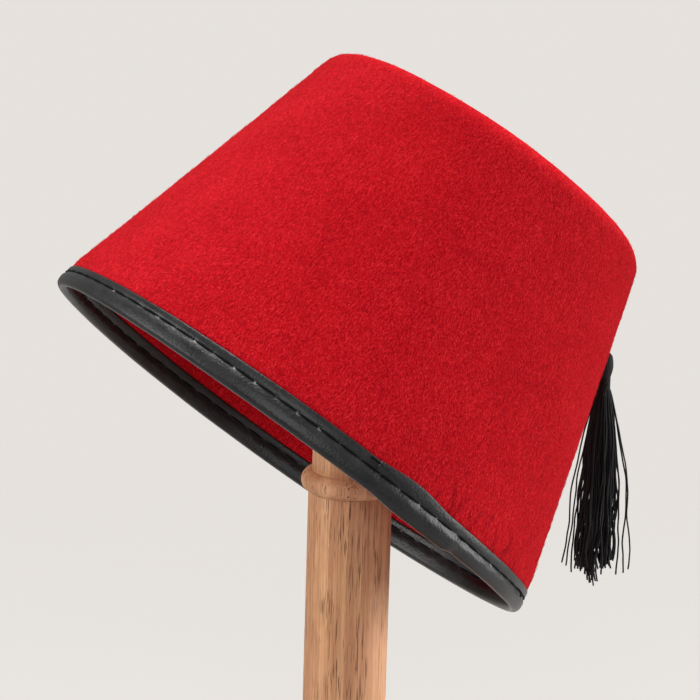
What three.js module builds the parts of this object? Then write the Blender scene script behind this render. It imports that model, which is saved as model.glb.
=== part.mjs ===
// A moulded felt fez with a bound rim and a tassel, leaning on a turned wooden hat stand.
// Millimetres, +Z up. The origin is the centre of the stand's foot, and the post stands on the Z axis.
import * as THREE from "three";

// ---- Driving dimensions -------------------------------------------------------------------------

const GAP = 0.3; // clearance between pieces that would touch

// The felt crown, in its own frame: Z along its axis, z = 0 at the rim, +X towards its low side.
const CROWN_HEIGHT = 121.8;
const RIM_WALL_RADIUS = 96.0; // where the straight wall would meet the rim plane
const TOP_WALL_RADIUS = 62.1; // where the straight wall would meet the flat top
const CORNER_RADIUS = 8.7; // outside, between wall and top
const FELT = 2.4; // felt thickness
const CORD_HOLE_RADIUS = 1.5;
const CROWN_SEGMENTS = 64;

// The rim is drawn in under its binding, where the felt is pressed thinner.
const RIM_FOLD_RADIUS = 92.7; // centre line of the binding's fold
const PRESSED_FELT = 1.7; // felt thickness in the fold
const DRAWN_HEIGHT = 14; // height over which the wall is drawn in

// The rim isn't quite flat: it is a little lower on one side and slightly saddle-shaped.
const RIM_SLOPE = { rise: 1.4, at: THREE.MathUtils.degToRad(-46) };
const RIM_SADDLE = { rise: 0.7, at: THREE.MathUtils.degToRad(-19) };
const RIM_WAVE_HEIGHT = 45; // height at which the rim's unevenness has died out

// The binding, a folded strip whose free end laps over its start.
const STRIP = 0.8; // strip thickness
const OUTER_LEAF_HEIGHT = 9.2;
const INNER_LEAF_HEIGHT = 8.8;
const LAP = { from: THREE.MathUtils.degToRad(-105), to: THREE.MathUtils.degToRad(-87), rise: 1.5 };

// The turned stand.
const FOOT_RADIUS = 85;
const FOOT_HEIGHT = 18;
const FOOT_EDGE_RADIUS = 4;
const TENON_RADIUS = 9;
const TENON_LENGTH = 12;
const POST_RADIUS = 14.3;
const BEAD_HEIGHT = 200; // height of the bead's middle
const BEAD_CENTRE_RADIUS = 13.1;
const BEAD_SECTION_RADIUS = 3.8;
const NECK_RADIUS = 13.2;
const KNOB_RADIUS = 38; // the ball inside the crown
const KNOB_CENTRE = BEAD_HEIGHT + 95.6;
const STAND_SEGMENTS = 40;

// How the hat leans on the stand.
const LEAN = THREE.MathUtils.degToRad(38.4); // crown axis from upright
const LEAN_HEADING = THREE.MathUtils.degToRad(29); // from +X towards +Y

// The tassel and its cord.
const CORD_DIAMETER = 2.0;
const CORD_SIDES = 8;
const CORD_STEPS = 34;
const CORD_SWING = THREE.MathUtils.degToRad(-5.5); // where the cord leaves the top, from the low side
const CORD_TAIL = 26; // the cord's last stretch, inside the tassel
const KNOT_RADIUS = 3.4;
const TASSEL_SIDES = 18;

// The cord's route in the crown's frame, turned by CORD_SWING: run is the way out from the axis
// and up the height over the flat top. It rises from its hole, bends over and lies down the slope.
const CORD_ON_TOP = [
  { run: 0, up: -2.9 },
  { run: 0, up: 0.4 },
  { run: 0.2, up: 3.4 },
  { run: 2.4, up: 6.4 },
  { run: 6.4, up: 6.9 },
  { run: 10.6, up: 4.6 },
  { run: 15, up: 2.3 },
  { run: 20.5, up: 1.35 },
  { run: 30, up: 1.3 },
  { run: 42, up: 1.3 },
  { run: 51, up: 1.3 },
];
// Then it turns over the crown's edge, at these angles from the flat top, and hangs straight down,
// at these drops below the edge.
const CORD_EDGE_ANGLES = [20, 40].map(THREE.MathUtils.degToRad);
const CORD_DROPS = [8, 16, 24, 32];

// The tassel's outline below its top: a round head, a wrapped neck, and the loose skirt.
const HEAD_OUTLINE = [
  { below: 0, radius: 1.7 },
  { below: 0.8, radius: 2.3 },
  { below: 3, radius: 2.8 },
  { below: 5, radius: 2.95 },
  { below: 7, radius: 2.6 },
  { below: 8.6, radius: 2.1 },
  { below: 9, radius: 2.25 },
  { below: 13.3, radius: 2.2 },
  { below: 13.6, radius: 2.0 },
];
const SKIRT_OUTLINE = [
  { below: 13.9, radius: 2.1 },
  { below: 20.5, radius: 3.7 },
  { below: 30, radius: 5.0 },
  { below: 42, radius: 6.0 },
  { below: 60, radius: 8.0 },
  { below: 79.5, radius: 10.5 },
];

const CLOTH_RED = 0xc41a24;
const BINDING_BLACK = 0x1b1c1d;
const TASSEL_BLACK = 0x0d0d0e;
const STAND_WOOD = 0xb98762;

// ---- Making pieces ------------------------------------------------------------------------------

const WALL_ANGLE = Math.atan2(RIM_WALL_RADIUS - TOP_WALL_RADIUS, CROWN_HEIGHT);
const FOLD_HALF = PRESSED_FELT / 2 + GAP + STRIP; // half the bound rim's thickness
const FOLD_HEIGHT = FOLD_HALF; // height of the fold's centre line

function piece(name, geometry, color, roughness) {
  const mesh = new THREE.Mesh(geometry, new THREE.MeshStandardMaterial({ color, roughness }));
  mesh.name = name;
  return mesh;
}

// Turns a profile of [radius, height] points round Z. With radius to the right and height up, the
// points go down the outside and up the inside. Reversed, as here, they make faces that point out.
function turned(profile, segments) {
  const points = profile.map(([radius, height]) => new THREE.Vector2(radius, height)).reverse();
  const geometry = new THREE.LatheGeometry(points, segments);
  const standUp = new THREE.Matrix4().set(0, 0, 1, 0, 1, 0, 0, 0, 0, 1, 0, 0, 0, 0, 0, 1);
  return geometry.applyMatrix4(standUp);
}

// Points on an arc, with angles from the outward radius towards +Z.
function arc(centreRadius, centreHeight, radius, from, to, steps) {
  const points = [];
  for (let i = 0; i <= steps; i += 1) {
    const angle = from + ((to - from) * i) / steps;
    points.push([centreRadius + radius * Math.cos(angle), centreHeight + radius * Math.sin(angle)]);
  }
  return points;
}

// How far the wall at a height has gone from its pressed, drawn-in foot to its free shape, 0 to 1.
function freed(height) {
  const left = Math.max(0, (DRAWN_HEIGHT - height) / (DRAWN_HEIGHT - FOLD_HEIGHT));
  return 1 - left * left;
}

function straightWall(height) {
  return RIM_WALL_RADIUS - height * Math.tan(WALL_ANGLE);
}

function outerFelt(height) {
  const drawnIn = straightWall(FOLD_HEIGHT) - RIM_FOLD_RADIUS - PRESSED_FELT / 2;
  return straightWall(height) - drawnIn * (1 - freed(height));
}

function innerFelt(height) {
  const acrossWall = FELT / Math.cos(WALL_ANGLE);
  return outerFelt(height) - PRESSED_FELT - (acrossWall - PRESSED_FELT) * freed(height);
}

// Moves the lower part of a ring up or down, so that the rim gets its slope and its saddle.
function waveRim(geometry) {
  const position = geometry.attributes.position;
  for (let i = 0; i < position.count; i += 1) {
    const height = position.getZ(i);
    const around = Math.atan2(position.getY(i), position.getX(i));
    const left = Math.max(0, 1 - height / RIM_WAVE_HEIGHT);
    const slope = -RIM_SLOPE.rise * Math.cos(around - RIM_SLOPE.at);
    const saddle = RIM_SADDLE.rise * Math.cos(2 * (around - RIM_SADDLE.at));
    position.setZ(i, height + (slope + saddle) * left * left);
  }
  return geometry;
}

// ---- The hat ------------------------------------------------------------------------------------

const DRAWN_HEIGHTS = [FOLD_HEIGHT, 5, 9, DRAWN_HEIGHT];

// The corner between wall and top, as an arc whose centre is the same for both felt surfaces.
function cornerCentre() {
  const turn = Math.PI / 2 - WALL_ANGLE;
  const back = CORNER_RADIUS * Math.tan(turn / 2);
  return [TOP_WALL_RADIUS - back, CROWN_HEIGHT - CORNER_RADIUS];
}

function crown() {
  const [cornerRadius, cornerHeight] = cornerCentre();
  const underTop = CROWN_HEIGHT - FELT;
  const profile = [
    ...arc(RIM_FOLD_RADIUS, FOLD_HEIGHT, PRESSED_FELT / 2, 0, -Math.PI, 4),
    ...DRAWN_HEIGHTS.slice(1).map((height) => [innerFelt(height), height]),
    ...arc(cornerRadius, cornerHeight, CORNER_RADIUS - FELT, WALL_ANGLE, Math.PI / 2, 5),
    [CORD_HOLE_RADIUS, underTop],
    [CORD_HOLE_RADIUS, CROWN_HEIGHT],
    ...arc(cornerRadius, cornerHeight, CORNER_RADIUS, Math.PI / 2, WALL_ANGLE, 7),
    ...DRAWN_HEIGHTS.toReversed().map((height) => [outerFelt(height), height]),
  ];
  return piece("crown", waveRim(turned(profile, CROWN_SEGMENTS)), CLOTH_RED, 0.95);
}

// The strip folded round the felt's edge: down outside, round the fold and up inside, then back.
function rimBinding() {
  const proud = GAP + STRIP;
  const outerHeights = [FOLD_HEIGHT, 5, OUTER_LEAF_HEIGHT];
  const innerHeights = [5, INNER_LEAF_HEIGHT];
  const outside = outerHeights.toReversed().map((height) => [outerFelt(height) + proud, height]);
  const profile = [
    ...outside,
    ...arc(RIM_FOLD_RADIUS, FOLD_HEIGHT, FOLD_HALF, -Math.PI / 6, -Math.PI, 5),
    ...innerHeights.map((height) => [innerFelt(height) - proud, height]),
    ...innerHeights.toReversed().map((height) => [innerFelt(height) - GAP, height]),
    ...arc(RIM_FOLD_RADIUS, FOLD_HEIGHT, FOLD_HALF - STRIP, -Math.PI, 0, 4),
    ...outerHeights.slice(1).map((height) => [outerFelt(height) + GAP, height]),
    outside[0],
  ];
  const geometry = raiseLap(turned(profile, CROWN_SEGMENTS));
  return piece("rim_binding", waveRim(geometry), BINDING_BLACK, 0.5);
}

// Where the strip's end lies over its start, the outer leaf is one strip thicker and a bit higher.
function raiseLap(geometry) {
  const position = geometry.attributes.position;
  const nearTop = (INNER_LEAF_HEIGHT + OUTER_LEAF_HEIGHT) / 2;
  for (let i = 0; i < position.count; i += 1) {
    const [x, y, height] = [position.getX(i), position.getY(i), position.getZ(i)];
    const around = Math.atan2(y, x);
    const radius = Math.hypot(x, y);
    if (around < LAP.from || around > LAP.to) continue;
    if (radius > outerFelt(height) + GAP + STRIP / 2) {
      const swell = 1 + STRIP / radius;
      position.setXY(i, x * swell, y * swell);
    }
    if (height > nearTop) {
      position.setZ(i, height + LAP.rise);
    }
  }
  return geometry;
}

// ---- The tassel ---------------------------------------------------------------------------------

// The cord's route in the crown's frame.
function cordRoute() {
  const outwards = new THREE.Vector3(Math.cos(CORD_SWING), Math.sin(CORD_SWING), 0);
  const at = (run, height) => outwards.clone().multiplyScalar(run).setZ(height);
  const points = CORD_ON_TOP.map(({ run, up }) => at(run, CROWN_HEIGHT + up));
  const [cornerRadius, cornerHeight] = cornerCentre();
  const bend = CORNER_RADIUS + GAP + CORD_DIAMETER / 2;
  for (const angle of CORD_EDGE_ANGLES) {
    points.push(at(cornerRadius + bend * Math.sin(angle), cornerHeight + bend * Math.cos(angle)));
  }
  const down = new THREE.Vector3(Math.sin(LEAN), 0, -Math.cos(LEAN));
  const edge = points.at(-1);
  for (const drop of CORD_DROPS) {
    points.push(edge.clone().addScaledVector(down, drop));
  }
  points.push(points.at(-1).clone().addScaledVector(down, CORD_TAIL));
  return points;
}

function tasselCord(route) {
  const section = new THREE.Shape();
  for (let i = 0; i < CORD_SIDES; i += 1) {
    const angle = (2 * Math.PI * i) / CORD_SIDES;
    const x = (CORD_DIAMETER / 2) * Math.cos(angle);
    const y = (CORD_DIAMETER / 2) * Math.sin(angle);
    if (i === 0) section.moveTo(x, y);
    else section.lineTo(x, y);
  }
  section.closePath();
  const extrudePath = new THREE.CatmullRomCurve3(route, false, "centripetal");
  const geometry = new THREE.ExtrudeGeometry(section, { steps: CORD_STEPS, extrudePath });
  return piece("tassel_cord", geometry, TASSEL_BLACK, 0.8);
}

// The knot that holds the cord, just under the top.
function cordKnot(route) {
  const flat = 0.75;
  const mesh = piece("cord_knot", new THREE.SphereGeometry(KNOT_RADIUS, 14, 10), TASSEL_BLACK, 0.8);
  mesh.scale.z = flat;
  mesh.position.copy(route[0]);
  mesh.position.z -= KNOT_RADIUS * flat + GAP;
  return mesh;
}

const CORD_BORE = CORD_DIAMETER / 2 + GAP;

function tasselHead() {
  const outline = HEAD_OUTLINE.map(({ below, radius }) => [radius, -below]);
  const top = outline[0][1];
  const bottom = outline.at(-1)[1];
  const profile = [[CORD_BORE, bottom], [CORD_BORE, top], ...outline, [CORD_BORE, bottom]];
  return piece("tassel_head", turned(profile, TASSEL_SIDES), TASSEL_BLACK, 0.8);
}

function tasselSkirt() {
  const outline = SKIRT_OUTLINE.map(({ below, radius }) => [radius, -below]);
  const top = outline[0][1];
  const bottom = outline.at(-1)[1];
  const tailEnd = -CORD_TAIL - GAP;
  const profile = [[0, tailEnd], [CORD_BORE, tailEnd], [CORD_BORE, top], ...outline, [0, bottom]];
  return piece("tassel_skirt", turned(profile, TASSEL_SIDES), TASSEL_BLACK, 0.8);
}

// ---- The stand ----------------------------------------------------------------------------------

function standFoot() {
  const socketRadius = TENON_RADIUS + GAP;
  const socketFloor = FOOT_HEIGHT - TENON_LENGTH - GAP;
  const rounding = [FOOT_RADIUS - FOOT_EDGE_RADIUS, FOOT_HEIGHT - FOOT_EDGE_RADIUS, FOOT_EDGE_RADIUS];
  const profile = [
    [0, socketFloor],
    [socketRadius, socketFloor],
    [socketRadius, FOOT_HEIGHT],
    ...arc(...rounding, Math.PI / 2, 0, 4),
    [FOOT_RADIUS, 0],
    [0, 0],
  ];
  return piece("stand_foot", turned(profile, STAND_SEGMENTS), STAND_WOOD, 0.6);
}

// Tenon, post, bead, neck and ball, turned in one piece.
function standPost() {
  const lowBead = -Math.acos((POST_RADIUS - BEAD_CENTRE_RADIUS) / BEAD_SECTION_RADIUS);
  const highBead = Math.acos((NECK_RADIUS - BEAD_CENTRE_RADIUS) / BEAD_SECTION_RADIUS);
  const bead = [BEAD_CENTRE_RADIUS, BEAD_HEIGHT, BEAD_SECTION_RADIUS];
  const lowKnob = -Math.acos(NECK_RADIUS / KNOB_RADIUS);
  const profile = [
    [0, FOOT_HEIGHT - TENON_LENGTH],
    [TENON_RADIUS, FOOT_HEIGHT - TENON_LENGTH],
    [TENON_RADIUS, FOOT_HEIGHT + GAP],
    [POST_RADIUS, FOOT_HEIGHT + GAP],
    ...arc(...bead, lowBead, highBead, 9),
    ...arc(0, KNOB_CENTRE, KNOB_RADIUS, lowKnob, Math.PI / 2, 14),
  ];
  return piece("stand_post", turned(profile.reverse(), STAND_SEGMENTS), STAND_WOOD, 0.6);
}

// ---- Putting it together ------------------------------------------------------------------------

// The knob touches the crown inside its high edge, on the wall and on the top at once.
function hatGroup() {
  const reach = FELT + GAP + KNOB_RADIUS;
  const knobHeight = CROWN_HEIGHT - reach;
  const knobOffset = straightWall(knobHeight) - reach / Math.cos(WALL_ANGLE);
  const hat = new THREE.Group();
  hat.rotation.set(0, LEAN, LEAN_HEADING, "ZYX");
  const knobInHat = new THREE.Vector3(-knobOffset, 0, knobHeight).applyEuler(hat.rotation);
  hat.position.set(0, 0, KNOB_CENTRE).sub(knobInHat);
  return hat;
}

const model = new THREE.Group();
const hat = hatGroup();
const route = cordRoute();
hat.add(crown(), rimBinding(), tasselCord(route), cordKnot(route));
hat.updateMatrixWorld(true);

const tassel = new THREE.Group();
const tasselTop = route.at(-2);
tassel.position.copy(hat.localToWorld(tasselTop.clone()));
tassel.add(tasselHead(), tasselSkirt());

model.add(hat, tassel, standPost(), standFoot());

export default model;
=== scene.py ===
"""A moulded felt fez with a bound rim and a thread tassel, leaning on a turned wooden hat stand.

Sizes are in millimetres until a mesh is made, with +Z up and the origin under the stand's foot. The
hat has a frame of its own: Z along the crown's axis, z = 0 at the rim, +X towards its low side, and
angles round it run from +X towards +Y.
"""

import logging
import math
from dataclasses import dataclass
from enum import Enum

import bmesh
import bpy
import numpy as np
from mathutils import Matrix, Vector, noise


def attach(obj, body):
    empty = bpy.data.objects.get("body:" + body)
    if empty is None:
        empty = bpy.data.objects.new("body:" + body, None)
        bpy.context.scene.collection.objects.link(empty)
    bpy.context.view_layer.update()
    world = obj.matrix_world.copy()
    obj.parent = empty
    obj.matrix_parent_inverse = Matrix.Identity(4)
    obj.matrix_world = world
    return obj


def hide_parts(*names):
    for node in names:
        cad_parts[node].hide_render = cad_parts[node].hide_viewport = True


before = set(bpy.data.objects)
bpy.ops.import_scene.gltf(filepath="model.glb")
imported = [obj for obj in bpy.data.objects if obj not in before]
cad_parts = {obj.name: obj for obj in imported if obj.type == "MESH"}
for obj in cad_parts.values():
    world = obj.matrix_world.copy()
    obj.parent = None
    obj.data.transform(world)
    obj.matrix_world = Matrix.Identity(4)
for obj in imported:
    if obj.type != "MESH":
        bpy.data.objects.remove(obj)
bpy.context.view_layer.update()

MM = 0.001
GAP = 0.3  # clearance between pieces that would touch
TURN = 2 * math.pi
WELD = 1e-6  # metres within which points are one

Values = np.ndarray | float  # one number, or an array of them
Input = bpy.types.NodeSocket | float | tuple  # an output to link to a socket, or its value

log = logging.getLogger("fez")


# ---- Helpers for meshes ----


def smooth_step(value: Values) -> Values:
    """Eases a share from 0 to 1, flat at both ends."""
    held = np.clip(value, 0.0, 1.0)
    return held * held * (3 - 2 * held)


def arc(centre: tuple[float, float], radius: float, start: float, end: float, steps: int) -> np.ndarray:
    """Points of (radius, height) on an arc, with angles from the outward radius towards +Z.

    Args:
        centre: The arc's centre as (radius, height).
        radius: The arc's own radius.
        start: First angle, in radians.
        end: Last angle, in radians.
        steps: Number of equal parts.

    Returns:
        An array of steps + 1 rows.
    """
    angles = np.linspace(start, end, steps + 1)
    return np.column_stack((centre[0] + radius * np.cos(angles), centre[1] + radius * np.sin(angles)))


def grid_faces(rings: int, sides: int, wrap_rings: bool, wrap_sides: bool) -> list[tuple[int, ...]]:
    """Quads over a grid of points that is stored ring after ring.

    Args:
        rings: Number of rings of points.
        sides: Number of points in each ring.
        wrap_rings: Whether the last ring joins the first.
        wrap_sides: Whether each ring's last point joins its first.

    Returns:
        The faces as tuples of point numbers.
    """
    faces = []
    for ring in range(rings if wrap_rings else rings - 1):
        here = ring * sides
        there = ((ring + 1) % rings) * sides
        for side in range(sides if wrap_sides else sides - 1):
            beside = (side + 1) % sides
            faces.append((here + side, here + beside, there + beside, there + side))
    return faces


def headings(count: int) -> np.ndarray:
    """Angles that part a turn evenly, from 0."""
    return np.arange(count) * TURN / count


def spun(radius: Values, around: Values, height: Values) -> np.ndarray:
    """Points at a radius, an angle round Z and a height, with x, y and z as the last axis."""
    x = radius * np.cos(around)
    y = radius * np.sin(around)
    return np.stack(np.broadcast_arrays(x, y, height), axis=-1)


def link_object(name: str, data: bpy.types.ID) -> bpy.types.Object:
    """Puts a new object in the scene."""
    made = bpy.data.objects.new(name, data)
    bpy.context.scene.collection.objects.link(made)
    return made


def enclosed_volume(mesh: bpy.types.Mesh) -> float:
    """Volume inside a closed mesh, which is negative where its faces point inwards."""
    mesh.calc_loop_triangles()
    corners = np.empty(len(mesh.loop_triangles) * 3, np.int32)
    mesh.loop_triangles.foreach_get("vertices", corners)
    places = np.empty(len(mesh.vertices) * 3)
    mesh.vertices.foreach_get("co", places)
    first, second, third = places.reshape(-1, 3)[corners.reshape(-1, 3)].transpose(1, 0, 2)
    return float(np.einsum("ij,ij->i", first, np.cross(second, third)).sum() / 6)


def make_piece(
    name: str, points: np.ndarray, faces: list[tuple[int, ...]], finish: bpy.types.Material
) -> bpy.types.Object:
    """Makes a smooth closed piece with its place in its mesh.

    Args:
        name: The piece's name.
        points: Points in millimetres, in the common frame.
        faces: The faces as tuples of point numbers.
        finish: The piece's finish.

    Returns:
        The new object, linked to the scene.
    """
    mesh = bpy.data.meshes.new(name)
    mesh.from_pydata((points.reshape(-1, 3) * MM).tolist(), [], faces)
    if enclosed_volume(mesh) < 0:
        mesh.flip_normals()
    mesh.shade_smooth()
    mesh.materials.append(finish)
    return link_object(name, mesh)


def store(piece: bpy.types.Object, name: str, values: np.ndarray) -> None:
    """Stores one number or one vector per point of a piece under a name."""
    kind, part = ("FLOAT_VECTOR", "vector") if values.ndim == 2 else ("FLOAT", "value")
    attribute = piece.data.attributes.new(name, kind, "POINT")
    attribute.data.foreach_set(part, values.astype(np.float32).ravel())


def close_poles(piece: bpy.types.Object) -> None:
    """Merges the points that meet on the axis of a turned piece."""
    shape = bmesh.new()
    shape.from_mesh(piece.data)
    bmesh.ops.remove_doubles(shape, verts=shape.verts, dist=WELD)
    shape.to_mesh(piece.data)
    shape.free()


def turned(
    name: str, profile: np.ndarray, segments: int, finish: bpy.types.Material
) -> bpy.types.Object:
    """Turns a profile, which starts and ends on the axis, round Z.

    Args:
        name: The piece's name.
        profile: Rows of (radius, height), in millimetres.
        segments: Number of steps round the axis.
        finish: The piece's finish.

    Returns:
        The turned piece.
    """
    points = spun(profile[:, 0], headings(segments)[:, None], profile[:, 1])
    piece = make_piece(name, points, grid_faces(segments, len(profile), True, False), finish)
    close_poles(piece)
    return piece


def smooth_line(points: np.ndarray, per_span: int) -> np.ndarray:
    """Runs a centripetal Catmull-Rom curve through points.

    Args:
        points: The points, in millimetres.
        per_span: Number of steps between neighbours.

    Returns:
        The curve's points, from the first one given to the last.
    """
    before = 2 * points[0] - points[1]
    after = 2 * points[-1] - points[-2]
    held = np.vstack((before, points, after))
    curve = []
    for index in range(len(points) - 1):
        p0, p1, p2, p3 = held[index:index + 4]
        t1 = np.linalg.norm(p1 - p0) ** 0.5
        t2 = t1 + np.linalg.norm(p2 - p1) ** 0.5
        t3 = t2 + np.linalg.norm(p3 - p2) ** 0.5
        for t in np.linspace(t1, t2, per_span, endpoint=False):
            a1 = p0 * (t1 - t) / t1 + p1 * t / t1
            a2 = p1 * (t2 - t) / (t2 - t1) + p2 * (t - t1) / (t2 - t1)
            a3 = p2 * (t3 - t) / (t3 - t2) + p3 * (t - t2) / (t3 - t2)
            b1 = a1 * (t2 - t) / t2 + a2 * t / t2
            b2 = a2 * (t3 - t) / (t3 - t1) + a3 * (t - t1) / (t3 - t1)
            curve.append(b1 * (t2 - t) / (t2 - t1) + b2 * (t - t1) / (t2 - t1))
    curve.append(points[-1])
    return np.array(curve)


def run_along(line: np.ndarray) -> np.ndarray:
    """How far along a line each of its points is."""
    steps = np.linalg.norm(np.diff(line, axis=0), axis=1)
    return np.concatenate(([0.0], np.cumsum(steps)))


def line_length(line: np.ndarray) -> float:
    """Length of a line of points."""
    return float(np.linalg.norm(np.diff(line, axis=0), axis=1).sum())


def tube(
    name: str,
    line: np.ndarray,
    outline: np.ndarray,
    finish: bpy.types.Material,
    twist: float,
    closed: bool = False,
) -> bpy.types.Object:
    """Sweeps an outline along a line, and turns it on the way.

    Args:
        name: The piece's name.
        line: The centre line, in millimetres.
        outline: Rows of (x, y) for the section, in millimetres.
        finish: The piece's finish.
        twist: Turns of the section from one end to the other.
        closed: Whether the line is a loop.

    Returns:
        The swept piece, with its "thread_space" as (round, along) in turns and metres.
    """
    ahead = np.gradient(line, axis=0)
    if closed:
        ahead = np.roll(line, -1, axis=0) - np.roll(line, 1, axis=0)
    ahead /= np.linalg.norm(ahead, axis=1)[:, None]
    across = np.cross(ahead[0], (0.0, 0.0, 1.0) if abs(ahead[0][2]) < 0.9 else (1.0, 0.0, 0.0))
    along = run_along(line)
    sides = len(outline)
    points = np.empty((len(line), sides, 3))
    space = np.empty((len(line), sides, 3))
    for index, (place, forward) in enumerate(zip(line, ahead)):
        across = across - forward * np.dot(across, forward)
        across /= np.linalg.norm(across)
        aside = np.cross(forward, across)
        angle = TURN * twist * along[index] / along[-1]
        x = outline[:, 0] * math.cos(angle) - outline[:, 1] * math.sin(angle)
        y = outline[:, 0] * math.sin(angle) + outline[:, 1] * math.cos(angle)
        points[index] = place + x[:, None] * across + y[:, None] * aside
        space[index] = np.column_stack(
            (np.arange(sides) / sides, np.full(sides, along[index] * MM), np.zeros(sides))
        )
    faces = grid_faces(len(line), sides, closed, True)
    if not closed:
        last = (len(line) - 1) * sides
        faces.append(tuple(range(sides - 1, -1, -1)))
        faces.append(tuple(range(last, last + sides)))
    piece = make_piece(name, points, faces, finish)
    store(piece, "thread_space", space.reshape(-1, 3))
    return piece


def ply_outline(radius: float, plies: int, sides: int) -> np.ndarray:
    """The outline of a few round plies that lie against each other.

    Args:
        radius: Radius round all of them.
        plies: Number of plies.
        sides: Number of points.

    Returns:
        Rows of (x, y).
    """
    share = math.sin(math.pi / plies)
    ply = radius * share / (1 + share)
    reach = radius - ply
    angles = headings(sides)
    nearest = TURN / plies * np.round(angles * plies / TURN)
    off = angles - nearest
    radii = reach * np.cos(off) + np.sqrt(np.maximum(ply**2 - (reach * np.sin(off)) ** 2, 0.0))
    return np.column_stack((radii * np.cos(angles), radii * np.sin(angles)))


# ---- Helpers for node trees ----


class Recipe:
    """Adds nodes to a tree, one call each, and links or sets their inputs."""

    def __init__(self, tree: bpy.types.NodeTree) -> None:
        """Works on a tree."""
        self.tree = tree

    def add(self, kind: str, inputs: dict | None = None, **settings) -> bpy.types.Node:
        """Adds a node.

        Args:
            kind: The node's type.
            inputs: What goes into its sockets.
            settings: The node's own settings.

        Returns:
            The new node.
        """
        made = self.tree.nodes.new(kind)
        for key, value in settings.items():
            setattr(made, key, value)
        self.fill(made, inputs or {})
        return made

    def fill(self, node: bpy.types.Node, inputs: dict) -> None:
        """Links an output or sets a value to each socket, by its name or number."""
        for key, value in inputs.items():
            if isinstance(value, bpy.types.NodeSocket):
                self.tree.links.new(value, node.inputs[key])
            else:
                node.inputs[key].default_value = value

    def math(
        self, operation: str, first: Input, second: Input = 0.0, third: Input = 0.0
    ) -> bpy.types.NodeSocket:
        """Adds a Math node, and returns its result."""
        node = self.add("ShaderNodeMath", {0: first, 1: second, 2: third}, operation=operation)
        return node.outputs[0]

    def vector(self, operation: str, first: Input, second: Input) -> bpy.types.NodeSocket:
        """Adds a Vector Math node, whose second input is a number for SCALE, and returns the vector."""
        key = "Scale" if operation == "SCALE" else 1
        return self.add("ShaderNodeVectorMath", {0: first, key: second}, operation=operation).outputs[0]

    def between(self, factor: Input, low: Input, high: Input) -> bpy.types.NodeSocket:
        """Mixes two colours by a factor, and returns the result."""
        node = self.add("ShaderNodeMix", {0: factor, 6: low, 7: high}, data_type="RGBA")
        return node.outputs[2]

    def blended(self, factor: Input, low: Input, high: Input) -> bpy.types.NodeSocket:
        """Mixes two numbers by a factor, and returns the result."""
        return self.add("ShaderNodeMix", {0: factor, 2: low, 3: high}, data_type="FLOAT").outputs[0]

    def ranged(
        self, value: Input, start: float, end: float, low: float = 0.0, high: float = 1.0
    ) -> bpy.types.NodeSocket:
        """Maps a value's span from start to end onto low to high, held at both ends."""
        node = self.add("ShaderNodeMapRange", {0: value, 1: start, 2: end, 3: low, 4: high})
        return node.outputs[0]

    def combine(self, x: Input, y: Input, z: Input) -> bpy.types.NodeSocket:
        """Puts three numbers together as a vector."""
        return self.add("ShaderNodeCombineXYZ", {0: x, 1: y, 2: z}).outputs[0]

    def noise(self, vector: Input, scale: Input, detail: float) -> bpy.types.NodeSocket:
        """Adds a Noise Texture, and returns its number, round 0.5."""
        inputs = {"Vector": vector, "Scale": scale, "Detail": detail}
        return self.add("ShaderNodeTexNoise", inputs).outputs[0]

    def wander(self, vector: Input, scale: Input, detail: float) -> bpy.types.NodeSocket:
        """A vector that wanders round nought over a space."""
        inputs = {"Vector": vector, "Scale": scale, "Detail": detail}
        colour = self.add("ShaderNodeTexNoise", inputs).outputs[1]
        return self.vector("SUBTRACT", colour, (0.5, 0.5, 0.5))

    def bump(self, height: Input, strength: float, distance: float) -> bpy.types.NodeSocket:
        """Adds a Bump node, with its distance in metres, and returns the normal."""
        inputs = {"Height": height, "Strength": strength, "Distance": distance}
        return self.add("ShaderNodeBump", inputs).outputs[0]

    def place(self) -> bpy.types.NodeSocket:
        """The place on the piece."""
        return self.add("ShaderNodeTexCoord").outputs["Object"]

    def stored(self, name: str, output: str = "Fac") -> bpy.types.NodeSocket:
        """Reads an attribute that the piece carries."""
        return self.add("ShaderNodeAttribute", attribute_name=name).outputs[output]

    def effect(self, group: bpy.types.NodeTree, inputs: dict) -> bpy.types.NodeSocket:
        """Places a shared effect, and returns its output."""
        return self.add("ShaderNodeGroup", inputs, node_tree=group).outputs[0]


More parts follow.
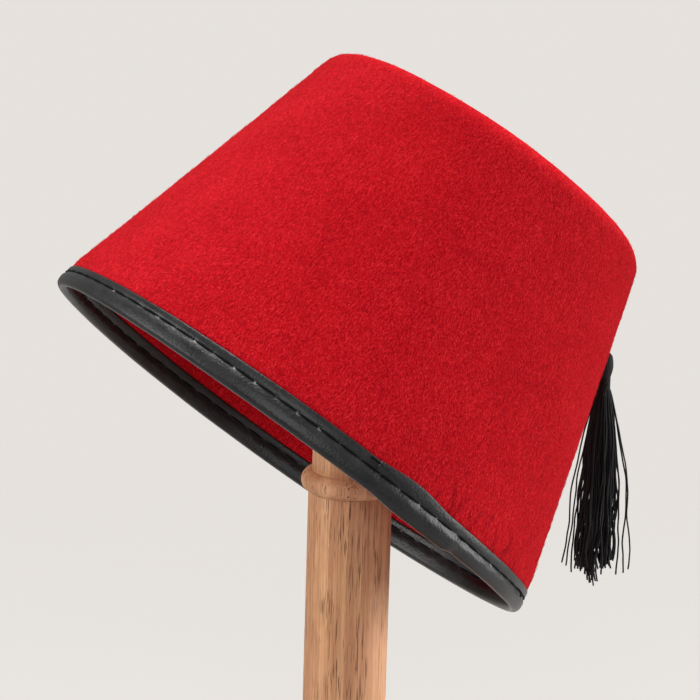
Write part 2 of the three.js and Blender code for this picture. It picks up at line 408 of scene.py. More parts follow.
class SharedEffects:
    """Shader node groups that more than one finish uses, each built once."""

    def __init__(self) -> None:
        """Builds the groups."""
        self.mottle = self._mottle()
        self.streaks = self._streaks()
        self.tooth = self._tooth()
        self.twist = self._twist()

    @staticmethod
    def _group(name: str, inputs: dict[str, float | None], output: str) -> tuple[Recipe, dict, object]:
        """Starts a group with its sockets.

        Args:
            name: The group's name.
            inputs: Its inputs, with a starting value, or None for a vector.
            output: The name of its one output.

        Returns:
            The recipe, the inputs as sockets by name, and the end node.
        """
        tree = bpy.data.node_groups.new(name, "ShaderNodeTree")
        for key, value in inputs.items():
            kind = "NodeSocketVector" if value is None else "NodeSocketFloat"
            socket = tree.interface.new_socket(name=key, in_out="INPUT", socket_type=kind)
            if value is not None:
                socket.default_value = value
        tree.interface.new_socket(name=output, in_out="OUTPUT", socket_type="NodeSocketFloat")
        recipe = Recipe(tree)
        start = recipe.add("NodeGroupInput")
        end = recipe.add("NodeGroupOutput")
        return recipe, {socket.name: socket for socket in start.outputs if socket.name}, end

    def _mottle(self) -> bpy.types.NodeTree:
        """Soft clouds: 0 to 1 over patches of a size."""
        recipe, given, end = self._group("soft_mottle", {"Vector": None, "Patch": 0.02}, "Mask")
        scale = recipe.math("DIVIDE", 1.0, given["Patch"])
        cloud = recipe.noise(given["Vector"], scale, 2.0)
        recipe.fill(end, {"Mask": recipe.ranged(cloud, 0.3, 0.7)})
        return recipe.tree

    def _streaks(self) -> bpy.types.NodeTree:
        """Fine lines along Z: 0 to 1, of a width and a length."""
        inputs = {"Vector": None, "Width": 0.0003, "Length": 0.003, "Wander": 0.0004}
        recipe, given, end = self._group("fine_streaks", inputs, "Mask")
        sway = recipe.vector("SCALE", recipe.wander(given["Vector"], 180.0, 1.0), given["Wander"])
        moved = recipe.vector("ADD", given["Vector"], sway)
        across = recipe.math("DIVIDE", 1.0, given["Width"])
        along = recipe.math("DIVIDE", 1.0, given["Length"])
        scaled = recipe.vector("MULTIPLY", moved, recipe.combine(across, across, along))
        lines = recipe.noise(scaled, 1.0, 2.0)
        recipe.fill(end, {"Mask": recipe.ranged(lines, 0.28, 0.72)})
        return recipe.tree

    def _tooth(self) -> bpy.types.NodeTree:
        """A fine pebbled surface: height 0 to 1, for pebbles of a size."""
        recipe, given, end = self._group("fine_tooth", {"Vector": None, "Pebble": 0.0005}, "Height")
        scale = recipe.math("DIVIDE", 1.0, given["Pebble"])
        cells = {"Vector": given["Vector"], "Scale": scale}
        pebbles = recipe.add("ShaderNodeTexVoronoi", cells, feature="SMOOTH_F1").outputs[0]
        dust = recipe.noise(given["Vector"], scale, 3.0)
        recipe.fill(end, {"Height": recipe.math("MULTIPLY_ADD", dust, 0.6, pebbles)})
        return recipe.tree

    def _twist(self) -> bpy.types.NodeTree:
        """Ridges that wind round a thread: height 0 to 1, from its (round, along) space."""
        inputs = {"Vector": None, "Plies": 3.0, "Pitch": 0.003}
        recipe, given, end = self._group("thread_twist", inputs, "Height")
        apart = recipe.add("ShaderNodeSeparateXYZ", {0: given["Vector"]})
        turns = recipe.math("DIVIDE", apart.outputs[1], given["Pitch"])
        wound = recipe.math("ADD", apart.outputs[0], turns)
        phase = recipe.math("MULTIPLY", recipe.math("MULTIPLY", wound, given["Plies"]), TURN)
        wave = recipe.math("SINE", phase)
        recipe.fill(end, {"Height": recipe.math("MULTIPLY_ADD", wave, 0.5, 0.5)})
        return recipe.tree


# ---- Finishes ----


class Grain(Enum):
    """Which way the wood's grain runs, as the turn that brings it to Z."""

    UPRIGHT = (0.0, 0.0, 0.0)
    LEVEL = (0.0, math.pi / 2, 0.0)


class Finish:
    """What every finish shares: one material with one Principled shader."""

    name = "finish"

    def material(self) -> bpy.types.Material:
        """Builds the finish, with what it puts in its shader's sockets."""
        material = bpy.data.materials.new(self.name)
        material.use_nodes = True
        recipe = Recipe(material.node_tree)
        recipe.fill(material.node_tree.nodes["Principled BSDF"], self.sockets(recipe))
        return material

    def sockets(self, recipe: Recipe) -> dict:
        """Adds the finish's nodes.

        Args:
            recipe: The material's recipe.

        Returns:
            What goes into the shader's sockets, by name.
        """
        raise NotImplementedError


@dataclass(frozen=True)
class WoolFelt(Finish):
    """Dense red felt, with short fibres that lie along the wall and a few creases by the rim, dented by
    bump and darkened by painted shade.
    """

    effects: SharedEffects
    deep: tuple = (0.27, 0.0020, 0.0060, 1)
    plain: tuple = (0.53, 0.0050, 0.0115, 1)
    bright: tuple = (0.80, 0.030, 0.040, 1)
    # painted shade: the dark colour that the creases are mixed towards
    crease: tuple = (0.25, 0.002, 0.007, 1)
    fibre_width: float = 0.00026
    fibre_length: float = 0.0008
    tuft_width: float = 0.0006
    tuft_length: float = 0.0020
    tuft_share: float = 0.30
    fold_width: float = 0.0016
    fold_length: float = 0.011
    fold_depth: float = 1.6
    cloud: float = 0.022
    cloud_share: float = 0.10
    name = "red_wool_felt"

    def sockets(self, recipe: Recipe) -> dict:
        """Reads the felt's own "felt_space", "flat_top" and "creased" attributes."""
        wall = recipe.stored("felt_space", "Vector")
        flat = recipe.stored("flat_top")
        creased = recipe.stored("creased")
        place = recipe.place()
        fibres = self._fibres(recipe, wall, self.fibre_width, self.fibre_length)
        tufts = self._fibres(recipe, wall, self.tuft_width, self.tuft_length)
        matted = recipe.effect(self.effects.tooth, {"Vector": place, "Pebble": self.tuft_width})
        on_top = recipe.ranged(matted, 0.3, 1.1)
        fine = recipe.blended(flat, fibres, on_top)
        cloud = recipe.effect(self.effects.mottle, {"Vector": place, "Patch": self.cloud})
        folds = self._fibres(recipe, wall, self.fold_width, self.fold_length)
        fold = recipe.math("MULTIPLY", recipe.ranged(folds, 0.42, 0.16), creased)
        tone = recipe.blended(self.tuft_share, fine, tufts)
        tone = recipe.math("MULTIPLY_ADD", recipe.math("SUBTRACT", cloud, 0.5), self.cloud_share, tone)
        dark = recipe.between(recipe.ranged(tone, 0.14, 0.52), self.deep, self.plain)
        colour = recipe.between(recipe.ranged(tone, 0.52, 1.0), dark, self.bright)
        # Painted shade: the creases are darkened in colour as well as dented.
        colour = recipe.between(fold, colour, self.crease)
        height = recipe.math("MULTIPLY_ADD", fold, -self.fold_depth, tone)
        return {
            "Base Color": colour,
            "Roughness": 0.95,
            "Specular IOR Level": 0.03,
            "Sheen Weight": 0.05,
            "Sheen Roughness": 0.45,
            "Sheen Tint": (1.0, 0.30, 0.30, 1),
            "Normal": recipe.bump(height, 0.9, 0.0004),
        }

    def _fibres(
        self, recipe: Recipe, space: Input, width: float, length: float
    ) -> bpy.types.NodeSocket:
        """Streaks of a width and a length in a space."""
        inputs = {"Vector": space, "Width": width, "Length": length, "Wander": length / 4}
        return recipe.effect(self.effects.streaks, inputs)


@dataclass(frozen=True)
class FeltNap(Finish):
    """The loose fibres that stand off the felt."""

    effects: SharedEffects
    low: tuple = (0.42, 0.0040, 0.010, 1)
    high: tuple = (0.80, 0.040, 0.050, 1)
    patch: float = 0.0015
    name = "red_felt_nap"

    def sockets(self, recipe: Recipe) -> dict:
        """Varies the colour a little from fibre to fibre."""
        shade = recipe.effect(self.effects.mottle, {"Vector": recipe.place(), "Patch": self.patch})
        return {
            "Base Color": recipe.between(shade, self.low, self.high),
            "Roughness": 0.9,
            "Specular IOR Level": 0.03,
        }


@dataclass(frozen=True)
class StripFinish(Finish):
    """Thin black grained strip, with a soft gloss, rub wear and a painted highlight along its fold, and
    painted glints by some holes.
    """

    effects: SharedEffects
    dark: tuple = (0.0050, 0.0052, 0.0056, 1)
    worn: tuple = (0.027, 0.028, 0.030, 1)
    # rub wear and painted highlight: the pale colour along the fold's crest
    rub_and_highlight: tuple = (0.185, 0.198, 0.205, 1)
    # painted glints: the pale colour of the specks by the stitch holes
    hole_glint: tuple = (0.46, 0.45, 0.43, 1)
    pebble: float = 0.00070
    cloud: float = 0.009
    rub_highlight_patch: float = 0.0035
    name = "black_grained_strip"

    def sockets(self, recipe: Recipe) -> dict:
        """Reads the strip's own attributes: the rub wear and painted highlight along the fold, and the
        painted glints by the holes.
        """
        place = recipe.place()
        rub_and_highlight = recipe.stored("rub_and_highlight")
        hole_glint = recipe.stored("hole_glint")
        pebbles = recipe.effect(self.effects.tooth, {"Vector": place, "Pebble": self.pebble})
        cloud = recipe.effect(self.effects.mottle, {"Vector": place, "Patch": self.cloud})
        patchy = recipe.effect(self.effects.mottle, {"Vector": place, "Patch": self.rub_highlight_patch})
        shade = recipe.math("MULTIPLY_ADD", pebbles, 0.5, recipe.math("MULTIPLY", cloud, 0.4))
        colour = recipe.between(shade, self.dark, self.worn)
        # Rub wear and painted highlight: the fold's crest is mixed towards a pale colour, in patches.
        rub_highlight_mask = recipe.math("MULTIPLY", rub_and_highlight, recipe.ranged(patchy, 0.25, 0.75, 0.35, 1.0))
        colour = recipe.between(rub_highlight_mask, colour, self.rub_and_highlight)
        # Painted glints: pale specks mixed in by some of the stitch holes.
        return {
            "Base Color": recipe.between(hole_glint, colour, self.hole_glint),
            "Roughness": recipe.ranged(shade, 0.1, 0.9, 0.30, 0.44),
            "Specular IOR Level": 0.30,
            "Normal": recipe.bump(pebbles, 0.65, 0.00015),
        }


@dataclass(frozen=True)
class StripBacking(Finish):
    """The pale woven backing that a cut through the strip shows."""

    effects: SharedEffects
    thread: tuple = (0.42, 0.41, 0.39, 1)
    shadow: tuple = (0.10, 0.10, 0.10, 1)
    yarn: float = 0.0003
    name = "strip_backing"

    def sockets(self, recipe: Recipe) -> dict:
        """Raises the weave's threads, with shadow between them."""
        weave = recipe.effect(self.effects.tooth, {"Vector": recipe.place(), "Pebble": self.yarn})
        return {
            "Base Color": recipe.between(recipe.ranged(weave, 0.2, 1.0), self.shadow, self.thread),
            "Roughness": 0.9,
            "Normal": recipe.bump(weave, 0.5, 0.0001),
        }


@dataclass(frozen=True)
class Thread(Finish):
    """Black twisted thread, with its plies as ridges, and painted shade that darkens its colour in the
    grooves between them.
    """

    effects: SharedEffects
    name: str = "black_thread"
    dark: tuple = (0.003, 0.003, 0.0035, 1)
    light: tuple = (0.014, 0.014, 0.016, 1)
    plies: float = 3.0
    pitch: float = 0.003
    depth: float = 0.00012
    roughness: float = 0.5
    gloss: float = 0.15
    cloud: float = 0.004

    def sockets(self, recipe: Recipe) -> dict:
        """Reads the thread's own "thread_space" attribute."""
        space = recipe.stored("thread_space", "Vector")
        inputs = {"Vector": space, "Plies": self.plies, "Pitch": self.pitch}
        ridges = recipe.effect(self.effects.twist, inputs)
        cloud = recipe.effect(self.effects.mottle, {"Vector": recipe.place(), "Patch": self.cloud})
        # Painted shade between the plies, mixed with random tone.
        shade = recipe.math("MULTIPLY_ADD", ridges, 0.5, recipe.math("MULTIPLY", cloud, 0.5))
        return {
            "Base Color": recipe.between(shade, self.dark, self.light),
            "Roughness": recipe.ranged(cloud, 0.0, 1.0, self.roughness - 0.08, self.roughness + 0.1),
            "Specular IOR Level": self.gloss,
            "Normal": recipe.bump(ridges, 0.7, self.depth),
        }


@dataclass(frozen=True)
class TurnedWood(Finish):
    """Open-pored light brown hardwood, oiled."""

    effects: SharedEffects
    grain: Grain
    name: str
    pale: tuple = (0.76, 0.430, 0.225, 1)
    brown: tuple = (0.50, 0.235, 0.110, 1)
    ruddy: tuple = (0.60, 0.275, 0.170, 1)
    pore: tuple = (0.11, 0.036, 0.012, 1)
    pith: tuple = (0.034, 0.021, 0.0)
    band: tuple = (0.0075, 0.30)
    line: tuple = (0.0008, 0.040)
    vessel: tuple = (0.00042, 0.011)
    porous_patch: tuple = (0.0045, 0.028)
    line_share: float = 0.70
    pore_share: float = 0.85
    cloud: float = 0.035

    def sockets(self, recipe: Recipe) -> dict:
        """Runs the grain round a pith that is off to one side of the piece."""
        inputs = {"Vector": recipe.place(), "Location": self.pith, "Rotation": self.grain.value}
        mapped = recipe.add("ShaderNodeMapping", inputs).outputs[0]
        rings = self._rings(recipe, mapped)
        bands = self._lines(recipe, mapped, *self.band)
        lines = self._lines(recipe, mapped, *self.line)
        vessels = self._lines(recipe, mapped, *self.vessel)
        porous = recipe.ranged(self._lines(recipe, mapped, *self.porous_patch), 0.25, 0.8)
        pores = recipe.math("MULTIPLY", recipe.ranged(vessels, 0.62, 0.76), porous)
        tone = recipe.math("MULTIPLY_ADD", rings, 0.35, recipe.math("MULTIPLY", bands, 0.65))
        tone = recipe.math("MULTIPLY_ADD", recipe.math("SUBTRACT", lines, 0.5), self.line_share, tone)
        wood = recipe.between(recipe.ranged(tone, 0.15, 0.85), self.brown, self.pale)
        cloud = recipe.effect(self.effects.mottle, {"Vector": mapped, "Patch": self.cloud})
        wood = recipe.between(recipe.math("MULTIPLY", cloud, 0.5), wood, self.ruddy)
        height = recipe.math("MULTIPLY_ADD", pores, -1.0, recipe.math("MULTIPLY", lines, 0.12))
        dark = recipe.math("MULTIPLY", pores, self.pore_share)
        return {
            "Base Color": recipe.between(dark, wood, self.pore),
            "Roughness": recipe.ranged(tone, 0.0, 1.0, 0.56, 0.68),
            "Specular IOR Level": 0.35,
            "Normal": recipe.bump(height, 0.6, 0.0002),
        }

    def _rings(self, recipe: Recipe, mapped: Input) -> bpy.types.NodeSocket:
        """Yearly rings round the pith: 0 to 1."""
        inputs = {
            "Vector": mapped,
            "Scale": 55.0,
            "Distortion": 1.4,
            "Detail": 2.0,
            "Detail Scale": 0.6,
        }
        rings = recipe.add(
            "ShaderNodeTexWave", inputs, wave_type="RINGS", rings_direction="Z", wave_profile="SAW"
        )
        return rings.outputs[1]

    def _lines(
        self, recipe: Recipe, mapped: Input, width: float, length: float
    ) -> bpy.types.NodeSocket:
        """Streaks along the grain."""
        inputs = {"Vector": mapped, "Width": width, "Length": length, "Wander": width / 2}
        return recipe.effect(self.effects.streaks, inputs)


# ---- Repeating pieces by Geometry Nodes ----


class Repeater:
    """A Geometry Nodes tree with named inputs, which makes one repeated piece."""

    def __init__(self, name: str, inputs: dict[str, float | int]) -> None:
        """Starts the tree.

        Args:
            name: The tree's name.
            inputs: Its inputs with starting values; whole numbers stay whole.
        """
        self.tree = bpy.data.node_groups.new(name, "GeometryNodeTree")
        interface = self.tree.interface
        interface.new_socket(name="Base", in_out="INPUT", socket_type="NodeSocketGeometry")
        for key, value in inputs.items():
            kind = "NodeSocketInt" if isinstance(value, int) else "NodeSocketFloat"
            interface.new_socket(name=key, in_out="INPUT", socket_type=kind).default_value = value
        interface.new_socket(name="Result", in_out="OUTPUT", socket_type="NodeSocketGeometry")
        self.recipe = Recipe(self.tree)
        start = self.recipe.add("NodeGroupInput")
        self.given = {socket.name: socket for socket in start.outputs if socket.name}
        self.end = self.recipe.add("NodeGroupOutput")

    def named(self, name: str, kind: str = "FLOAT") -> bpy.types.NodeSocket:
        """Reads an attribute that the base carries."""
        return self.recipe.add("GeometryNodeInputNamedAttribute", {0: name}, data_type=kind).outputs[0]

    def random(self, low: float, high: float, seed: Input) -> bpy.types.NodeSocket:
        """A random number for each point."""
        inputs = {2: low, 3: high, "Seed": seed}
        return self.recipe.add("FunctionNodeRandomValue", inputs, data_type="FLOAT").outputs[1]

    def random_turn(
        self, spread: tuple[float, float, float], seed: Input
    ) -> bpy.types.NodeSocket:
        """A random turn for each point, up to a spread of angles about X, Y and Z."""
        inputs = {0: tuple(-angle for angle in spread), 1: spread, "Seed": seed}
        turn = self.recipe.add("FunctionNodeRandomValue", inputs, data_type="FLOAT_VECTOR").outputs[0]
        return self.recipe.add("FunctionNodeEulerToRotation", {0: turn}).outputs[0]

    def thickened(self, curve: Input, radius: Input, sides: int) -> bpy.types.NodeSocket:
        """Gives a curve a round section, with its "thread_space" as (round, along).

        Args:
            curve: The curve.
            radius: The section's radius, in metres.
            sides: The section's number of sides.

        Returns:
            The mesh.
        """
        add = self.recipe.add
        spline = add("GeometryNodeSplineParameter")
        marked = self.stored(curve, "along", spline.outputs["Length"])
        ring = add("GeometryNodeCurvePrimitiveCircle", {"Resolution": sides, "Radius": radius}).outputs[0]
        round_marked = self.stored(ring, "round", spline.outputs["Factor"])
        inputs = {"Curve": marked, "Profile Curve": round_marked, "Fill Caps": True}
        mesh = add("GeometryNodeCurveToMesh", inputs).outputs[0]
        space = self.recipe.combine(self.named("round"), self.named("along"), 0.0)
        spaced = self.stored(mesh, "thread_space", space, "FLOAT_VECTOR")
        return add("GeometryNodeSetShadeSmooth", {"Geometry": spaced}).outputs[0]

    def stored(
        self, geometry: Input, name: str, value: Input, kind: str = "FLOAT"
    ) -> bpy.types.NodeSocket:
        """Stores a value on each point of a geometry under a name."""
        inputs = {"Geometry": geometry, "Name": name, "Value": value}
        settings = {"data_type": kind, "domain": "POINT"}
        return self.recipe.add("GeometryNodeStoreNamedAttribute", inputs, **settings).outputs[0]

    def aimed(
        self, off: Input, ahead: str, spread: tuple[float, float, float], seed: Input
    ) -> bpy.types.NodeSocket:
        """A turn for each point, which sets an instance down along a surface, a little askew.

        Args:
            off: The direction off the surface, which Z is brought to.
            ahead: The attribute with the direction that X is brought towards.
            spread: The most that it is askew, about X, Y and Z.
            seed: The seed.

        Returns:
            The turn.
        """
        add = self.recipe.add
        upright = add("FunctionNodeAlignRotationToVector", {"Vector": off}, axis="Z")
        inputs = {"Rotation": upright.outputs[0], "Vector": self.named(ahead, "FLOAT_VECTOR")}
        level = add("FunctionNodeAlignRotationToVector", inputs, axis="X", pivot_axis="Z")
        inputs = {0: level.outputs[0], 1: self.random_turn(spread, seed)}
        return add("FunctionNodeRotateRotation", inputs, rotation_space="LOCAL").outputs[0]

    def on_points(
        self, points: Input, instance: Input, **turn_and_size: Input
    ) -> bpy.types.NodeSocket:
        """Puts an instance on each point."""
        inputs = {"Points": points, "Instance": instance, **turn_and_size}
        return self.recipe.add("GeometryNodeInstanceOnPoints", inputs).outputs[0]

    def finish(self, result: Input, material: bpy.types.Material) -> None:
        """Ends the tree in Realize Instances and Set Material."""
        real = self.recipe.add("GeometryNodeRealizeInstances", {"Geometry": result})
        inputs = {"Geometry": real.outputs[0], "Material": material}
        dressed = self.recipe.add("GeometryNodeSetMaterial", inputs)
        self.tree.links.new(dressed.outputs[0], self.end.inputs["Result"])

    def run(self, base: bpy.types.Object, name: str, values: dict[str, float | int]) -> bpy.types.Object:
        """Runs the tree on a base, and turns the result into a plain piece.

        Args:
            base: The object that the tree starts from.
            name: The new piece's name.
            values: The tree's inputs by name.

        Returns:
            The piece, as a mesh of its own.
        """
        modifier = base.modifiers.new(self.tree.name, "NODES")
        modifier.node_group = self.tree
        for item in self.tree.interface.items_tree:
            if item.in_out == "INPUT" and item.name in values:
                modifier[item.identifier] = values[item.name]
        made = base.evaluated_get(bpy.context.evaluated_depsgraph_get())
        mesh = bpy.data.meshes.new_from_object(made)
        base.modifiers.remove(modifier)
        mesh.name = name
        return link_object(name, mesh)


def loose_points(name: str, points: np.ndarray) -> bpy.types.Object:
    """A mesh of bare points, given in millimetres, for a Repeater to start from."""
    mesh = bpy.data.meshes.new(name)
    mesh.from_pydata((points * MM).tolist(), [], [])
    return link_object(name, mesh)


# ---- The hat's shape ----


@dataclass(frozen=True)
class FezShape:
    """The crown's driving sizes, and what follows from them."""

    height: float = 121.8
    rim_wall_radius: float = 96.0
    top_wall_radius: float = 62.1
    corner_radius: float = 8.7
    felt: float = 2.4
    cord_hole_radius: float = 1.5
    fold_radius: float = 92.7
    pressed_felt: float = 1.7
    fold_half: float = 1.95
    drawn_height: float = 14.0
    slope_rise: float = 1.4
    slope_at: float = math.radians(-46)
    saddle_rise: float = 0.7
    saddle_at: float = math.radians(-19)
    wave_height: float = 45.0

    @property
    def wall_angle(self) -> float:
        """The wall's angle from the crown's axis."""
        return math.atan2(self.rim_wall_radius - self.top_wall_radius, self.height)

    @property
    def corner(self) -> tuple[float, float]:
        """Centre of the rounding between wall and top, as (radius, height)."""
        back = self.corner_radius * math.tan((math.pi / 2 - self.wall_angle) / 2)
        return self.top_wall_radius - back, self.height - self.corner_radius

    def straight_wall(self, height: Values) -> Values:
        """Radius of the straight outside wall at a height."""
        return self.rim_wall_radius - height * math.tan(self.wall_angle)

    def freed(self, height: Values) -> Values:
        """How far the wall has gone from its drawn-in foot to its free shape, 0 to 1."""
        left = np.maximum(0.0, (self.drawn_height - height) / (self.drawn_height - self.fold_half))
        return 1 - left**2

    def outer_felt(self, height: Values) -> Values:
        """Radius of the outside wall at a height, drawn in at the rim."""
        drawn = self.straight_wall(self.fold_half) - self.fold_radius - self.pressed_felt / 2
        return self.straight_wall(height) - drawn * (1 - self.freed(height))

    def inner_felt(self, height: Values) -> Values:
        """Radius of the inside wall at a height."""
        across = self.felt / math.cos(self.wall_angle)
        thick = self.pressed_felt + (across - self.pressed_felt) * self.freed(height)
        return self.outer_felt(height) - thick

    def rim_wave(self, around: Values, height: Values) -> Values:
        """How much the rim's slope and saddle lift a point."""
        left = np.maximum(0.0, 1 - height / self.wave_height) ** 2
        slope = -self.slope_rise * np.cos(around - self.slope_at)
        saddle = self.saddle_rise * np.cos(2 * (around - self.saddle_at))
        return (slope + saddle) * left


@dataclass(frozen=True)
class Lean:
    """How the hat leans on the stand's ball, which touches its wall and its top inside."""

    shape: FezShape
    angle: float = math.radians(38.4)
    heading: float = math.radians(29)
    ball_radius: float = 38.0
    ball_centre: float = 295.6

    @property
    def turn(self) -> np.ndarray:
        """The hat's turn as a 3 by 3 matrix."""
        return np.array(Matrix.Rotation(self.heading, 3, "Z") @ Matrix.Rotation(self.angle, 3, "Y"))

    @property
    def origin(self) -> np.ndarray:
        """Where the centre of the rim is."""
        reach = self.shape.felt + GAP + self.ball_radius
        height = self.shape.height - reach
        offset = self.shape.straight_wall(height) - reach / math.cos(self.shape.wall_angle)
        return np.array((0.0, 0.0, self.ball_centre)) - self.turn @ (-offset, 0.0, height)

    def place(self, points: np.ndarray) -> np.ndarray:
        """Moves points from the hat's frame to the common one."""
        return points @ self.turn.T + self.origin

    def aim(self, directions: np.ndarray) -> np.ndarray:
        """Turns directions from the hat's frame to the common one."""
        return directions @ self.turn.T


# ---- The bound rim ----


@dataclass
class BoundRim:
    """The strip folded round the felt's edge, sewn through with one line of stitches."""

    shape: FezShape
    lean: Lean
    strip: float = 0.75
    leaf_height: float = 8.4
    leaf_wander: float = 0.8
    leaf_wander_at: float = math.radians(-128)
    inner_leaf_height: float = 8.6
    seam_height: float = 5.75
    seam_slope: float = 0.25
    seam_wander: float = 0.6
    seam_wander_at: float = math.radians(-145)
    fold_proud: float = 1.1
    pinch: float = 0.30
    fold_fullness: float = 1.2
    swell: float = 0.16
    lip: float = 0.16
    lip_lean: float = 0.05
    groove_depth: float = 0.10
    groove_half: float = 0.45
    hole_depth: float = 0.28
    hole_half: tuple = (0.65, 0.6)
    pucker: float = 0.06
    pucker_reach: float = 1.6
    noise_reach: float = 40.0
    wobbles: tuple = ((0.10, 9), (0.12, 23))
    edge_wobble: tuple = (0.12, 5)
    lap_from: float = math.radians(-105)
    lap_to: float = math.radians(-80)
    lap_middle: float = math.radians(-96)
    lap_half: float = math.radians(11)
    lap_rise: float = 1.25
    lap_flare: float = 0.45
    lap_flare_over: float = math.radians(1.4)
    lap_ease: float = math.radians(1.0)
    lap_pressed: float = 0.13
    lap_bulk: float = 1.25
    tucked_end: float = 1.2
    tucked_over: float = math.radians(1.5)
    pared_above_seam: float = 2.2
    pared_over: float = 1.8
    pared_share: float = 0.06
    pared_length: float = math.radians(9)
    hidden_end: float = math.radians(-82.5)
    stitch_pitch: float = 8.0
    stitch_share: float = 0.90
    stitch_thread: float = 0.72
    stitch_arch: float = 0.16
    stitch_dip: float = 0.34
    stitch_skew: tuple = (0.05, 0.02, 0.035)
    thread_end_at: float = math.radians(-52)
    thread_end_spots: tuple = (
        (-0.6, 0.0, 0.0), (0.3, 0.6, 0.1), (0.9, 1.5, -0.2), (1.2, 2.5, -0.7), (1.3, 3.3, -1.3),
    )
    tack_below: float = 0.7
    tack_spots: tuple = (
        (-1.0, -3.6, 0.2), (-0.1, -2.6, 0.15), (0.25, -1.0, 0.0), (0.35, 0.2, -0.05), (0.30, 1.0, -0.3),
        (-0.1, 1.4, -0.5), (-1.0, 1.6, -0.7),
    )
    # Where along the fold the rub wear and painted highlight lies, and how wide it is.
    rub_highlight_bearing: float = math.radians(-98)
    rub_highlight_half: float = math.radians(15)
    # The painted glints by the stitch holes: their size, place and share of holes.
    speck_size: float = 0.34
    speck_below: float = 0.30
    speck_beside: float = 0.35
    speck_chance: float = 0.5
    lip_corner: tuple = (-0.18, 0.14)
    inner_lip_corner: tuple = (0.2, 0.15)
    back_lower: float = 0.05
    leaf_rows: int = 24
    inner_leaf_rows: int = 14
    fold_rows: int = 14
    fold_back_rows: int = 8
    outer_row: int = 53
    pale_rungs: int = 3
    segments: int = 940
    seed: int = 7

    @property
    def stitches(self) -> int:
        """Number of stitches round the rim."""
        return round(TURN * self.shape.fold_radius / self.stitch_pitch)

    def edge(self, around: Values) -> Values:
        """Height of the outer leaf's upper edge, without the lap."""
        return self.leaf_height + self.leaf_wander * np.cos(2 * (around - self.leaf_wander_at))

    def seam(self, around: Values) -> Values:
        """Height of the line of stitches."""
        return self.seam_height + self.seam_wander * np.cos(2 * (around - self.seam_wander_at))

    def lapped(self, around: Values) -> Values:
        """How much of the upper end's thickness lies over the lower end, 0 to 1."""
        start = self.hidden_end - self.lap_ease
        return 1 - smooth_step((around - start) / (self.lap_to - start))

    def lifted(self, around: Values) -> Values:
        """How much higher the upper edge is along the lap."""
        off = np.clip((around - self.lap_middle) / self.lap_half, -1, 1)
        return self.lap_rise * np.cos(math.pi / 2 * off) ** 2

    def skived(self, around: Values, height: Values, seam: Values) -> Values:
        """The strip's thickness, which is pared down below the seam towards its upper end."""
        from_cut = smooth_step((around - self.lap_from) / self.pared_length)
        below = smooth_step((seam + self.pared_above_seam - height) / self.pared_over)
        return self.strip * (1 - below * (1 - self.pared_share) * (1 - from_cut))

    def lift(self, thick: Values) -> Values:
        """How far the lap lifts a strip off the felt; where it is pared down it is pressed in."""
        return self.lap_bulk * thick - self.lap_pressed

    def round_place(self, around: float) -> Vector:
        """A point on a circle that stands for the rim, to take noise from."""
        reach = self.noise_reach
        return Vector((math.cos(around) * reach, math.sin(around) * reach, 0.0))

    def wobble(self, around: float) -> float:
        """How far the hand-folded strip stands off its plain place."""
        place = self.round_place(around)
        return sum(size * noise.noise(place / span) for size, span in self.wobbles)

    def leaf_offset(self, height: Values, edge: Values, seam: Values, along: Values) -> Values:
        """How far a leaf's outer side stands off the felt's plain wall.

        Args:
            height: Height over the rim.
            edge: Height of the leaf's upper edge.
            seam: Height of the stitches.
            along: Place along the seam, in stitches.

        Returns:
            The offsets, in millimetres.
        """
        below = np.clip((seam - height) / (seam - self.shape.fold_half), 0, 1)
        above = np.clip((height - seam) / (edge - seam), 0, 1)
        filled = np.sin(math.pi / 2 * below) ** self.fold_fullness
        plump = self.pinch + (self.fold_proud - self.pinch) * filled
        plump = plump + self.swell * np.sin(math.pi * below) ** 2
        flat = self.pinch + self.lip * np.sin(math.pi * above) + self.lip_lean * above
        offset = np.where(height < seam, plump, flat)
        groove = self.groove_depth * np.exp(-(((height - seam) / self.groove_half) ** 2))
        from_hole = np.abs(along - np.round(along)) * self.stitch_pitch
        beside, beyond = self.hole_half
        hole = self.hole_depth * np.exp(-((from_hole / beside) ** 2) - ((height - seam) / beyond) ** 2)
        fullness = np.sin(math.pi * np.clip(below * self.pucker_reach, 0, 1))
        pucker = self.pucker * np.cos(TURN * along) * fullness
        return offset - groove - hole - pucker

    def build(self, finish: bpy.types.Material, backing: bpy.types.Material) -> bpy.types.Object:
        """Builds the strip as one length that starts over its own end.

        Args:
            finish: The strip's finish.
            backing: The finish of its cut ends.

        Returns:
            The piece.
        """
        around = np.linspace(self.lap_from, TURN + self.hidden_end, self.segments)
        upper = around < self.lap_from + math.pi
        raised = np.where(upper, self.lapped(around), 0.0)
        hidden = smooth_step((around - self.lap_from - TURN) / self.tucked_over)
        rise = np.where(upper, self.lifted(around), -self.tucked_end * hidden)
        flare = np.where(upper, np.exp(-(around - self.lap_from) / self.lap_flare_over), 0.0)
        along = self.stitches * around / TURN
        places = zip(around, raised, rise, flare * self.lap_flare, along)
        section = np.array([self._section(*place) for place in places])
        sides = section.shape[1]
        wave = self.shape.rim_wave(around[:, None], section[:, :, 1])
        points = spun(section[:, :, 0], around[:, None], section[:, :, 1] + wave)
        faces = grid_faces(self.segments, sides, False, True)
        last = (self.segments - 1) * sides
        rungs = self._rungs(sides)
        faces += [face[::-1] for face in rungs]
        faces += [tuple(last + point for point in face) for face in rungs]
        piece = make_piece("bound_rim", self.lean.place(points.reshape(-1, 3)), faces, finish)
        piece.data.materials.append(backing)
        for face in piece.data.polygons[-2 * len(rungs):][:self.pale_rungs]:
            face.material_index = 1
            face.use_smooth = False
        # Rub wear and painted highlight along the fold.
        store(piece, "rub_and_highlight", self._rub_and_highlight(section).ravel())
